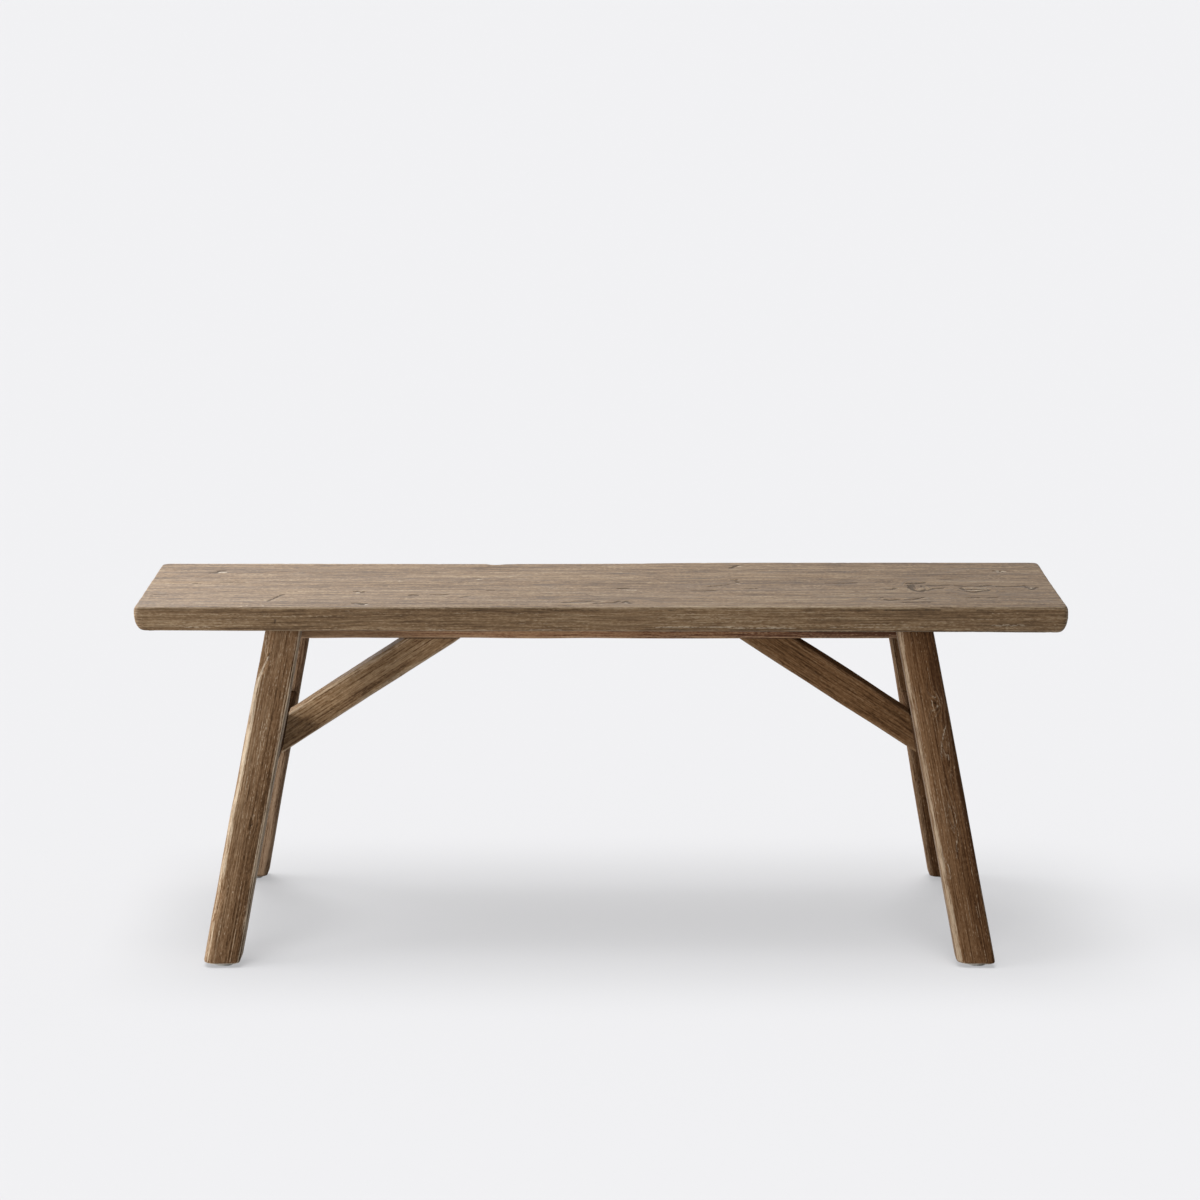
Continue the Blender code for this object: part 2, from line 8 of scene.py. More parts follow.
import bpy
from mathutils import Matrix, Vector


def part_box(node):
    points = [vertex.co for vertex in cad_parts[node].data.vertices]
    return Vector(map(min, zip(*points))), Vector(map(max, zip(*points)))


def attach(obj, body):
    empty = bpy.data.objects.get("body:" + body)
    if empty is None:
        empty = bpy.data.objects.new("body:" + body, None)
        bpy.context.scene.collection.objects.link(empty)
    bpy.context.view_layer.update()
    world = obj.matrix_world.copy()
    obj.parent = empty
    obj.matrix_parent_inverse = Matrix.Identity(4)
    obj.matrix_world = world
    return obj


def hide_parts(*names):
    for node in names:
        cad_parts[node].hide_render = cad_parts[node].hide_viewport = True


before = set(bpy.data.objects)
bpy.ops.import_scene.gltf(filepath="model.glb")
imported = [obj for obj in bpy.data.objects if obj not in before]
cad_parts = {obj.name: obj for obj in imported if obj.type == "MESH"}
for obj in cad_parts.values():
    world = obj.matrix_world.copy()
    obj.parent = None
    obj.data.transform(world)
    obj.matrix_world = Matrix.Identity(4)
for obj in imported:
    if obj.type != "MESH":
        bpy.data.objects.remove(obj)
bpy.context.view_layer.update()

# %% Libraries
import math
from collections import namedtuple

import bpy
import numpy as np
from mathutils import Vector

# %% [markdown]
# ## The sizes of the real bench
# A dressed piece has to lie where its CAD solid lies. The numbers could be measured from the
# imported meshes, but a maker works from a list of sizes, so the same list as in the CAD source
# stands here, in metres. X runs along the bench, -Y is its front and Z is up.

# %% Sizes of the seat, the legs and the rails
SEAT_LENGTH, SEAT_WIDTH, SEAT_THICKNESS, SEAT_HEIGHT = 1.195, 0.350, 0.032, 0.452
SEAT_TOP_ROUND, SEAT_LOWER_ROUND = 0.0015, 0.003
SEAT_FRONT_CORNER, SEAT_REAR_CORNER = 0.006, 0.010
SEAT_NOSE_REACH, SEAT_NOSE_RISE = 0.012, 0.022
SEAT_END_EASE, SEAT_END_DROP = 0.0028, 0.0065
SEAT_UNDERSIDE = SEAT_HEIGHT - SEAT_THICKNESS
GAP = 0.0003
TENON_ARRIS = 0.0015

LEG_THICKNESS = 0.046
LEG_TOP_X, LEG_TOP_Y = SEAT_LENGTH / 2 - 0.193, SEAT_WIDTH / 2 - 0.0505
LEG_END_SPLAY, LEG_SIDE_SPLAY = math.radians(10.5), math.radians(15.65)
LEG_STUB_SIDE, LEG_STUB_HEIGHT = 0.026, 0.016
FOOT_HEIGHT, FOOT_EASE = 0.0043, 0.005

RAIL_TOP = SEAT_UNDERSIDE - GAP
TOP_RAIL_SIZE, TOP_TENON = (0.035, 0.036), (0.014, 0.020, 0.022)
TOP_TENON_DROP = 0.003
CENTRE_RAIL_SIZE, CENTRE_TENON = (0.040, 0.036), (0.016, 0.020, 0.018)
STRETCHER_HEIGHT = SEAT_UNDERSIDE - 0.159
STRETCHER_SIZE, STRETCHER_TENON = (0.040, 0.050), (0.016, 0.032, 0.024)
BRACE_SIZE, BRACE_SLOPE = (0.040, 0.040), math.radians(33.1)
BRACE_FOOT_TENON, BRACE_TOP_TENON = (0.014, 0.026, 0.020), (0.014, 0.036, 0.012)
print("seat's underside:", SEAT_UNDERSIDE, "leg tops at:", LEG_TOP_X, LEG_TOP_Y)

# %% [markdown]
# ## Small tools for smooth randomness
# Brushed wood is never even: its faces sway, and ridges run along the grain. A noise library
# could give that, but a few dozen sine waves with random directions are enough, need one line of
# numpy, and repeat exactly for the same seed.

# %% Smooth random values and fades
def waves(places, lengths, seed, count=28):
    """A smooth random value for each place, with a spread of about 1: the sum of sine waves with
    random directions and phases, whose lengths along the three axes vary round the given ones,
    over the square root of half their number."""
    draw = np.random.default_rng(seed)
    turns = 2 * np.pi * draw.normal(size=(count, 3)) / np.array(lengths)
    phases = draw.uniform(0, 2 * np.pi, count)
    return np.sin(places @ turns.T + phases).sum(-1) * math.sqrt(2 / count)


def fade(value, low, high):
    """0 below low, 1 above high, and three times the square less twice the cube between."""
    share = np.clip((value - low) / (high - low), 0, 1)
    return share * share * (3 - 2 * share)


def line_distance(x, y, start, stop):
    """Distance to a straight stroke: to its nearest point, found by projecting on its length."""
    run = np.subtract(stop, start)
    share = np.clip(((x - start[0]) * run[0] + (y - start[1]) * run[1]) / (run @ run), 0, 1)
    return np.hypot(x - start[0] - share * run[0], y - start[1] - share * run[1])


def drawn(x, y, lines):
    """How strongly each place is marked by lines of (strength, reach, x, y, x, y...): the strength
    on a line, less by a bell curve as the distance to it grows. Lines are in millimetres."""
    marked = np.zeros(np.shape(x))
    for strength, reach, *numbers in lines:
        points = np.reshape(numbers, (-1, 2))
        for start, stop in zip(points[:-1], points[1:]):
            distance = line_distance(1000 * x, 1000 * y, start, stop)
            marked = np.maximum(marked, strength * np.exp(-(distance / reach) ** 2))
    return marked

# %% [markdown]
# ## From arrays to a closed mesh
# Each wooden piece is one closed skin. Its points come as one array and its faces as arrays of
# point numbers, which is quick and leaves no seams to merge. If the skin's volume comes out
# negative, the faces look inwards and are all turned round.

# %% Meshes from arrays
def outward(points, faces):
    """The faces, turned round if the volume inside them is negative. The volume is a sixth of the
    sum, over all triangles, of a corner times the cross product of the other two."""
    volume = 0.0
    for group in faces:
        for corner in range(1, group.shape[1] - 1):
            edges = np.cross(points[group[:, corner]], points[group[:, corner + 1]])
            volume += np.einsum("ij,ij->", points[group[:, 0]], edges) / 6
    return faces if volume > 0 else [group[:, ::-1] for group in faces]


def closed_mesh(name, points, faces):
    """A mesh of one skin whose faces look outwards."""
    mesh = bpy.data.meshes.new(name)
    polygons = [corners for group in outward(points, faces) for corners in group.tolist()]
    mesh.from_pydata(points.tolist(), [], polygons)
    mesh.update()
    return mesh


def vectors(rows, field):
    """One vector for each of the mesh's points or normals."""
    flat = np.empty(len(rows) * 3)
    rows.foreach_get(field, flat)
    return flat.reshape(-1, 3)


def push_out(mesh, heights):
    """Moves every point along its normal by its height."""
    moved = vectors(mesh.vertices, "co") + vectors(mesh.vertex_normals, "vector") * heights[:, None]
    mesh.vertices.foreach_set("co", moved.ravel())
    mesh.update()


def keep_values(mesh, name, values):
    """Keeps one number or one vector for each point, for the material to read."""
    kind, field = ("FLOAT", "value") if values.ndim == 1 else ("FLOAT_VECTOR", "vector")
    mesh.attributes.new(name, kind, "POINT").data.foreach_set(field, values.ravel())


# %% [markdown]
# ## How the grain runs
# Growth rings are nested tubes round the tree's pith, and every face of a board cuts through
# them. An image of grain could be laid on each face, but a solid pattern also gets the end grain
# and the edges right. Round a knot the fibres part and close again, so the pattern's
# own coordinates bend there. Places along the grain are (along, across, up) in metres.

# %% Rings and knots
Knot = namedtuple("Knot", "along across long wide push lift")


def near_knot(places, knot, spread=1):
    """1 at the knot's middle, and less by a bell curve over its length and width times spread."""
    along = (places[:, 0] - knot.along) / (spread * knot.long)
    across = (places[:, 1] - knot.across) / (spread * knot.wide)
    return np.exp(-along ** 2 - across ** 2)


def part_round_knots(places, knots):
    """Grain places with the lines parted round each knot: close to it, a place counts as nearer
    to the knot's middle line than it is, by its push times a bell curve."""
    bent = places.copy()
    for knot in knots:
        bent[:, 1] -= knot.push * near_knot(places, knot) * (places[:, 1] - knot.across)
    return bent


def ring_count(places, pith, spacing, knots, seed):
    """The number of growth rings from the pith: the distance from the pith's line over the ring
    spacing, plus a slow sway, plus a bell-shaped lift at each knot that closes rings round it."""
    distance = np.hypot(places[:, 1] - pith[0], places[:, 2] - pith[1])
    rings = distance / spacing + 0.8 * waves(places, (0.55, 0.10, 0.10), seed)
    for knot in knots:
        rings += knot.lift * near_knot(places, knot)
    return rings


def knot_figure(places, knots):
    """How clearly the rings show: up to 1 at a knot's middle, fading over twice its reach."""
    shown = np.zeros(len(places))
    for knot in knots:
        shown = np.maximum(shown, near_knot(places, knot, 2) * min(1.0, knot.lift / 2))
    return shown


def brushed_height(places, seed, sway=0.00022, ridges=0.00009):
    """Height of a brushed face over its flat plane: broad plane marks plus ridges along the grain,
    both smooth random waves."""
    broad = waves(places, (0.32, 0.08, 0.08), seed)
    narrow = waves(places, (0.15, 0.010, 0.010), seed + 1, 40)
    return sway * broad + ridges * narrow


# %% [markdown]
# ## The seat plank
# The seat is one thick board with crisp long edges, rounded corners, and ends that are eased
# above and rounded away below. It could be a subdivided box with bevels. Here a lattice on the
# outside of a box is bent into shape by formulas, because its lines can crowd where gouges and
# nicks need them, and because six grids that share their edges are closed from the start.

# %% A lattice on a box
def crowded_lines(start, stop, step, places, fine_step, reach):
    """Grid lines a step apart that crowd to the fine step round the given places. The wanted
    lines per metre are added up along the length, and a line stands at each whole number."""
    ruler = np.linspace(start, stop, 8000)
    crowd = np.zeros(ruler.shape)
    for place in places:
        crowd = np.maximum(crowd, np.exp(-((ruler - place) / reach) ** 2))
    density = 1 / step + crowd * (1 / fine_step - 1 / step)
    growth = np.cumsum((density[1:] + density[:-1]) / 2 * np.diff(ruler))
    total = np.concatenate(([0.0], growth))
    return np.interp(np.linspace(0, total[-1], round(total[-1]) + 1), total, ruler)


def box_lattice(xs, ys, zs):
    """The outside of a box as six grids that share their edge points: (points, faces)."""
    outside = np.ones((len(xs), len(ys), len(zs)), bool)
    outside[1:-1, 1:-1, 1:-1] = False
    number = np.full(outside.shape, -1)
    number[outside] = np.arange(outside.sum())
    points = np.stack(np.meshgrid(xs, ys, zs, indexing="ij"), -1)[outside]
    sheets = (number[:, :, -1], number[:, ::-1, 0], number[:, 0, :], number[:, -1, ::-1],
              number[0, ::-1, :], number[-1, :, :])
    faces = [np.stack((sheet[:-1, :-1], sheet[1:, :-1], sheet[1:, 1:], sheet[:-1, 1:]), -1)
             .reshape(-1, 4) for sheet in sheets]
    return points, faces


# %% Knots of the seat, and its gouges, nicks, painted shade and painted highlights as lines in millimetres
SEAT_KNOTS = [
    Knot(0.416, -0.011, 0.014, 0.036, 0.55, 3.4),
    Knot(0.446, -0.008, 0.022, 0.016, 0.50, 1.6),
    Knot(0.497, -0.030, 0.024, 0.034, 0.45, 3.4),
    Knot(0.390, -0.100, 0.060, 0.022, 0.50, 1.8),
    Knot(0.183, 0.146, 0.020, 0.024, 0.50, 1.4),
    Knot(-0.306, -0.143, 0.018, 0.022, 0.50, 1.2),
    Knot(0.377, -0.113, 0.022, 0.020, 0.50, 1.2),
    Knot(0.027, -0.133, 0.050, 0.030, 0.50, 1.4),
]
TOP_GOUGES = [
    (1.0, 3.5, -515, 98, -513, 110, -510, 116, -505, 114), (0.8, 3.2, -524, 96, -518, 100),
    (0.9, 3.0, -564, 2, -562, 1), (0.75, 3.5, -537, 12, -527, 10),
    (0.72, 4.1, -501, 22, -490, 20, -473, 16), (0.8, 3.0, -579, -76, -573, -78, -563, -78),
    (0.9, 2.4, -429, -128, -424, -112, -412, -75), (0.9, 3.0, -322, -56, -318, -51, -315, -58),
    (0.9, 3.0, -312, -64, -309, -54), (0.9, 3.0, -318, -145, -315, -141),
    (1.2, 3.8, -311, -143, -308, -149, -305, -153), (0.9, 3.0, -303, -149, -301, -145),
    (1.0, 3.5, -247, -85, -244, -80, -239, -84),
    (0.8, 3.5, -219, -78, -214, -80, -205, -82, -198, -76), (0.8, 3.5, -180, -99, -169, -87),
    (0.8, 3.0, -268, 39, -261, 38), (0.75, 3.0, -164, 52, -158, 54),
    (0.72, 3.5, -148, -46, -138, -44), (1.0, 3.2, 23, -31, 28, -27), (1.0, 3.2, 30, -31, 37, -26),
    (0.9, 3.5, -47, -138, -30, -132, -14, -129, -3, -134),
    (0.9, 3.5, -8, -146, 6, -143, 20, -139, 24, -128), (1.0, 3.5, 28, -140, 33, -130, 38, -145),
    (0.75, 3.2, -54, -160, -37, -158), (0.8, 3.5, 120, -50, 136, -52, 150, -47),
    (0.75, 3.5, 141, -14, 154, -8, 170, 2), (1.0, 3.2, 175, 130, 182, 146, 186, 152),
    (1.0, 3.2, 174, 38, 179, 35, 181, 40), (0.9, 3.0, 180, 21, 183, 14),
    (0.75, 3.2, 189, -30, 204, -30), (0.75, 3.2, 297, 12, 316, 10, 338, 16),
    (0.95, 3.5, 375, -34, 381, -37, 387, -27), (1.2, 4.3, 368, -115, 374, -121, 384, -117),
    (0.75, 3.0, 351, -97, 367, -99), (1.1, 4.1, 406, 12, 415, 8, 427, 15),
    (1.1, 4.3, 407, -4, 407, -28, 413, -48, 419, -54, 424, -40), (0.85, 3.2, 412, 2, 411, -34),
    (0.8, 3.0, 422, -8, 422, -18), (0.9, 3.2, 427, -48, 437, -31, 449, -28),
    (0.8, 3.2, 430, -4, 442, -8, 461, -2),
    (1.0, 3.5, 468, -8, 478, -13, 490, -9, 499, -14, 513, -4),
    (0.95, 3.5, 472, -25, 477, -40, 488, -37, 503, -31),
    (1.0, 3.5, 478, -50, 487, -60, 497, -51, 508, -42), (0.9, 3.2, 519, -15, 538, -16, 557, -9),
    (0.95, 3.5, 559, -7, 561, -25, 566, -37, 574, -18), (0.9, 3.5, 450, 47, 460, 46, 467, 48),
    (0.95, 3.5, 390, -119, 403, -117, 417, -100), (0.85, 3.5, 475, -102, 483, -98, 490, -101),
    (0.75, 3.2, 501, -106, 514, -99), (0.95, 3.2, 528, 109, 534, 107, 541, 99),
    (0.9, 2.7, 493, 108, 495, 108), (0.75, 3.0, 388, -140, 424, -138),
]
# Pale flecks and short lines on the top: nicks, and painted highlights on the lit rims of the dents
# beside them.
TOP_NICKS_AND_LIT_RIMS = [
    (1.0, 2.2, -513, 100, -511, 102), (1.0, 2.2, -507, 100, -503, 102),
    (0.9, 2.0, -461, -169, -460, -169), (0.9, 2.0, -454, -165, -453, -164),
    (0.9, 2.0, -433, -167, -432, -166), (0.9, 2.0, -317, -65, -314, -60),
    (0.9, 2.0, -313, -149, -312, -148), (0.9, 2.0, -302, -153, -300, -151),
    (1.0, 2.0, -268, 26, -265, 28), (0.9, 2.0, -163, 42, -162, 44), (0.9, 2.0, -158, 44, -157, 45),
    (0.8, 2.2, 29, -42, 47, -44), (0.8, 2.0, 32, -145, 36, -138), (1.0, 2.0, 187, 142, 188, 143),
    (0.9, 2.0, 181, 11, 183, 12), (0.7, 2.2, 488, -28, 505, -28), (0.65, 2.2, 480, -45, 505, -45),
    (0.9, 2.2, 561, -32, 568, -24), (1.0, 2.0, 532, 110, 534, 100), (1.0, 2.0, 538, 103, 541, 105),
]
# On the front, the first seven lines, about 4 mm under the top edge, and the next two, near and on
# the lower edge, are painted shade where the edges shade the face; the last three are dark dots.
FRONT_GOUGES_AND_SHADE_LINES = [
    (0.6, 1.1, -172, 27.6, -145, 27.6), (0.6, 1.1, -62, 27.7, 1, 27.9),
    (0.6, 1.1, 83, 27.8, 103, 27.8), (0.65, 1.1, 256, 28.0, 281, 28.0),
    (0.65, 1.2, 301, 27.8, 344, 27.8), (0.8, 1.3, 364, 28.0, 390, 28.2, 436, 28.2),
    (0.6, 1.1, 481, 27.8, 491, 27.8), (0.65, 0.8, 50, 3.4, 200, 3.3, 330, 3.0),
    (0.9, 0.8, -560, 0.0, 560, 0.0), (1.0, 1.4, -417, 13.0, -416, 13.0),
    (1.0, 1.3, -329, 2.6, -328, 2.6), (1.0, 1.3, -284, 2.6, -283, 2.6),
]
# Pale lines low on the front face: painted highlight where the lower edge catches light.
FRONT_HIGHLIGHT_LINES = [
    (0.45, 1.0, -222, 2.2, -200, 2.2), (0.42, 1.0, -545, 6.5, -498, 6.0),
    (0.45, 1.0, -90, 7.0, -42, 7.0), (0.42, 1.0, -90, 2.4, -50, 2.4),
    (0.45, 1.0, 70, 5.8, 166, 5.8), (0.45, 1.0, 166, 5.0, 255, 5.0),
    (0.48, 1.0, 293, 6.2, 421, 6.2), (0.48, 1.0, 500, 8.2, 542, 8.2),
]
EDGE_CHIP_X, EDGE_CHIP_REACH = -0.1425, 0.007
print("marks on the seat:", len(TOP_GOUGES + TOP_NICKS_AND_LIT_RIMS + FRONT_GOUGES_AND_SHADE_LINES + FRONT_HIGHLIGHT_LINES))

# %% The seat's shape
def drawn_in(height, reach, rise):
    """How far a quarter ellipse draws the face in at a height above the edge."""
    share = np.clip(height / rise, 0, 1)
    return reach * (1 - np.sqrt(1 - (1 - share) ** 2))


def round_plan(x, y, half_x, half_y, radius):
    """Rounds the plan's corners. In a corner square of the radius's size, a point moves towards the
    square's inner corner until the square's rings have become arcs."""
    past_x = np.maximum(np.abs(x) - (half_x - radius), 0)
    past_y = np.maximum(np.abs(y) - (half_y - radius), 0)
    length = np.hypot(past_x, past_y)
    shrink = np.maximum(past_x, past_y) / np.maximum(length, 1e-9)
    shrink = np.where(length > 0, shrink, 1.0)
    return (np.sign(x) * (np.minimum(np.abs(x), half_x - radius) + past_x * shrink),
            np.sign(y) * (np.minimum(np.abs(y), half_y - radius) + past_y * shrink))


def seat_shape(lattice):
    """Bends the box into the plank. At each height the plan is a rounded rectangle, drawn in by a
    quarter circle at the long edges, and at the ends by a quarter ellipse above and a longer one
    below."""
    x, y, height = lattice.T
    top = drawn_in(SEAT_THICKNESS - height, SEAT_TOP_ROUND, SEAT_TOP_ROUND)
    end_top = drawn_in(SEAT_THICKNESS - height, SEAT_END_EASE, SEAT_END_DROP)
    half_x = SEAT_LENGTH / 2 - end_top - drawn_in(height, SEAT_NOSE_REACH, SEAT_NOSE_RISE)
    half_y = SEAT_WIDTH / 2 - top - drawn_in(height, SEAT_LOWER_ROUND, SEAT_LOWER_ROUND)
    x = x * half_x / (SEAT_LENGTH / 2)
    y = y * half_y / (SEAT_WIDTH / 2)
    corner = np.where(y < 0, SEAT_FRONT_CORNER, SEAT_REAR_CORNER)
    x, y = round_plan(x, y, half_x, half_y, corner)
    x = x + out_of_square(x, y)
    return np.stack((x, y, SEAT_UNDERSIDE + height + seat_unevenness(x, y, height)), -1)


def out_of_square(x, y):
    """How far the ends are off true: both are drawn in a little towards the rear corners, and
    the right end's front corner stands a little out."""
    right, left = np.clip(x, 0, None), np.clip(x, None, 0)
    rearward = 0.5 + y / SEAT_WIDTH
    return right * (0.0017 - 0.0068 * rearward) - left * 0.0035 * rearward


def seat_unevenness(x, y, height):
    """How far the board is off true: the top rises a little towards the right rear corner, and the
    lower front edge falls a little from the left end to the right one."""
    share = height / SEAT_THICKNESS
    rear = fade(y, 0.0, SEAT_WIDTH / 2)
    rise = 0.0014 * fade(x, -0.05, 0.22) - 0.0005 * np.exp(-((x + 0.17) / 0.15) ** 2)
    fall = 0.0011 * x / (SEAT_LENGTH / 2) * fade(-y, 0.150, 0.172)
    return rise * rear * share - fall * (1 - share)

# %% Work out the seat's skin
edge_lines = np.array((0.0, 0.0009, 0.0021, 0.0038, 0.0058, 0.0082, 0.0110))
inner_x, inner_y = SEAT_LENGTH / 2 - SEAT_REAR_CORNER, SEAT_WIDTH / 2 - SEAT_REAR_CORNER
mark_xs = [0.001 * x for line in TOP_GOUGES + TOP_NICKS_AND_LIT_RIMS for x in line[2::2]]
mark_xs += [0.001 * line[2] for line in FRONT_GOUGES_AND_SHADE_LINES[-3:]] + [EDGE_CHIP_X]
PLAIN_STEP, MARK_STEP, MARK_REACH = 0.0080, 0.0028, 0.0028
lines_x = crowded_lines(-inner_x, inner_x, PLAIN_STEP, mark_xs, MARK_STEP, MARK_REACH)
lines_y = np.linspace(-inner_y, inner_y, round(2 * inner_y / MARK_STEP) + 1)
xs = np.concatenate((-SEAT_LENGTH / 2 + edge_lines, lines_x, SEAT_LENGTH / 2 - edge_lines[::-1]))
ys = np.concatenate((-SEAT_WIDTH / 2 + edge_lines, lines_y, SEAT_WIDTH / 2 - edge_lines[::-1]))
arc = np.linspace(0, np.pi / 2, 8)
zs = np.unique(np.round(np.concatenate((
    SEAT_LOWER_ROUND * (1 - np.cos(arc[::2])), SEAT_NOSE_RISE * (1 - np.cos(arc[2:])),
    (0.0033, 0.0052, 0.0062, 0.0084, 0.0225, 0.0262, 0.0271, 0.0279, 0.0287, 0.0295),
    SEAT_THICKNESS - SEAT_TOP_ROUND * (1 - np.sin(arc[::2])))), 5))
lattice, seat_faces = box_lattice(xs, ys, zs)
seat_points = seat_shape(lattice)
print("seat lattice:", len(xs), "x", len(ys), "x", len(zs), "=", len(lattice), "points")

# %% Wear, marks, painted shade and painted highlights of the seat
GOUGE_DEPTH, CHIP_DEPTH, BITE_DEPTH = 0.0006, 0.0022, 0.0003
x, y, z = seat_points.T
height = z - SEAT_UNDERSIDE
from_faces = np.sort(np.stack((SEAT_LENGTH / 2 - np.abs(x), SEAT_WIDTH / 2 - np.abs(y),
                               np.minimum(height, SEAT_THICKNESS - height)), -1), -1)
seat_edge = 1 - fade(from_faces[:, 1], 0.0005, 0.005)
on_top = fade(height, SEAT_THICKNESS - 0.004, SEAT_THICKNESS - 0.001)
on_front = fade(-y, SEAT_WIDTH / 2 - 0.005, SEAT_WIDTH / 2 - 0.003)
# On the front, the pits take in painted shade lines as well as gouges.
seat_pits_and_shade_lines = np.maximum(on_top * drawn(x, y, TOP_GOUGES), on_front * drawn(x, height, FRONT_GOUGES_AND_SHADE_LINES))
# The nicks take in painted highlights: lines low on the front, and the rims of dents on the top.
seat_nicks_and_highlights = np.maximum(on_top * drawn(x, y, TOP_NICKS_AND_LIT_RIMS), on_front * drawn(x, height, FRONT_HIGHLIGHT_LINES))
chip = (np.exp(-((x - EDGE_CHIP_X) / EDGE_CHIP_REACH) ** 2)
        * fade(y, SEAT_WIDTH / 2 - 0.009, SEAT_WIDTH / 2 - 0.002)
        * fade(height, SEAT_THICKNESS - 0.008, SEAT_THICKNESS))
seat_places = np.stack((x, y, z - SEAT_HEIGHT), -1)
seat_grain = part_round_knots(seat_places, SEAT_KNOTS)
seat_rings = ring_count(seat_places, pith=(0.02, -0.26), spacing=0.0075, knots=SEAT_KNOTS, seed=11)
edge_bites = fade(waves(seat_places, (0.020, 0.05, 0.05), 15), 0.6, 2.2)
seat_heights = (brushed_height(seat_grain, 12, sway=0.00016, ridges=0.00007) * (1 - 0.6 * seat_edge)
                - GOUGE_DEPTH * on_top * seat_pits_and_shade_lines - CHIP_DEPTH * chip
                - BITE_DEPTH * seat_edge * edge_bites)
print("deepest mark in the seat, mm:", round(-1000 * seat_heights.min(), 2))

# %% Make the seat
pieces = {}
SHARP_ANGLE = math.radians(35)


def linked(name, data):
    """A new object that is linked into the scene."""
    item = bpy.data.objects.new(name, data)
    bpy.context.scene.collection.objects.link(item)
    return item


def wooden_piece(node, mesh, values):
    """Makes a dressed piece of the CAD node: it rides on the bench's one body and stands for the
    node. The values are kept on the mesh for the material."""
    for name, numbers in values.items():
        keep_values(mesh, name, numbers)
    mesh.shade_smooth()
    mesh.set_sharp_from_angle(angle=SHARP_ANGLE)
    piece = linked(f"brushed_{node}", mesh)
    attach(piece, "root")
    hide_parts(node)
    pieces[node] = piece
    print(piece.name, "has", sum(len(face.vertices) - 2 for face in mesh.polygons), "triangles")


seat_mesh = closed_mesh("brushed_seat_plank", seat_points, seat_faces)
push_out(seat_mesh, seat_heights)
# The pits and flecks kept on the seat carry its painted shade and painted highlight lines as well
# as its marks.
wooden_piece("seat_plank", seat_mesh, {
    "grain": seat_grain, "rings": seat_rings, "edge": seat_edge,
    "figure": knot_figure(seat_places, SEAT_KNOTS),
    "pits": np.maximum(seat_pits_and_shade_lines, 1.4 * chip), "flecks": seat_nicks_and_highlights})

# %% [markdown]
# ## Straight stock with rounded edges
# Legs, rails and braces are all square stock: an outline with four rounded edges, carried along a
# straight run and cut off at a plane. A box with a bevel would do for new wood. Carrying an
# outline lets each edge wear by its own amount along the run, lets the stock bow a little, and
# lets it step down to a tenon in the same skin.

# %% Planes, stock and outlines
Stock = namedtuple("Stock", "middle sideways upward along")
Plane = namedtuple("Plane", "point normal")
X_AXIS, Y_AXIS, Z_AXIS = np.eye(3)
ARRIS_STEPS = 5


def level(height):
    """The level plane at a height."""
    return Plane(Z_AXIS * height, Z_AXIS)


def shifted(plane, distance):
    """The plane moved along its normal."""
    return Plane(plane.point + plane.normal * distance, plane.normal)


def stock_outline(width, height, radii, face_steps=24):
    """Outlines round a rectangle, one for each station: (stations, points, 2). Every corner is a
    quarter circle of its own radius, and straight steps join one quarter to the next. The corners
    are in the order right-low, right-high, left-high, left-low, and radii is (stations, 4)."""
    radii = np.atleast_2d(radii)
    half = np.stack(np.broadcast_arrays(width, height), -1).reshape(-1, 1, 2) / 2
    signs = np.array(((1, -1), (1, 1), (-1, 1), (-1, -1)))
    centres = signs * (half - radii[..., None])
    angle = np.pi / 2 * (np.arange(4)[:, None] - 1 + np.linspace(0, 1, ARRIS_STEPS + 1))
    arcs = np.stack((np.cos(angle), np.sin(angle)), -1) * radii[..., None, None]
    arcs = centres[:, :, None] + arcs
    share = np.linspace(0, 1, face_steps + 2)[1:-1, None]
    starts, stops = arcs[:, :, -1:], np.roll(arcs[:, :, :1], -1, axis=1)
    outline = np.concatenate((arcs, starts + share * (stops - starts)), axis=2)
    return outline.reshape(len(outline), -1, 2)


def carried(stock, outlines, shares, start, stop):
    """Rings of outlines carried along the stock from one cut plane to another. Each outline point
    slides along the run, and its share of the way between the planes goes from 0 to 1."""
    base = (stock.middle + outlines[..., :1] * stock.sideways
            + outlines[..., 1:] * stock.upward)
    first = ((start.point - base) @ start.normal) / (stock.along @ start.normal)
    last = ((stop.point - base) @ stop.normal) / (stock.along @ stop.normal)
    travel = first + np.reshape(shares, (-1, 1)) * (last - first)
    return base + travel[..., None] * stock.along


def tube_faces(rows, columns):
    """Quads between neighbouring rings, and a fan of triangles round each end's pole."""
    number = np.arange(rows * columns).reshape(rows, columns)
    after = np.roll(number, -1, axis=1)
    quads = np.stack((number[:-1], after[:-1], after[1:], number[1:]), -1).reshape(-1, 4)
    poles = np.full((2, columns), [[rows * columns], [rows * columns + 1]])
    return [quads, np.stack((after[0], number[0], poles[0]), -1),
            np.stack((number[-1], after[-1], poles[1]), -1)]


def capped(rings):
    """Adds two rings that shrink towards each end's middle, and a pole there: (points, faces)."""
    def towards_middle(ring):
        middle = ring.mean(0)
        return [middle + (ring - middle) * share for share in (0.66, 0.33)], middle

    first_rings, first_pole = towards_middle(rings[0])
    last_rings, last_pole = towards_middle(rings[-1])
    rings = np.concatenate((first_rings[::-1], rings, last_rings))
    points = np.concatenate((rings.reshape(-1, 3), (first_pole, last_pole)))
    return points, tube_faces(*rings.shape[:2])


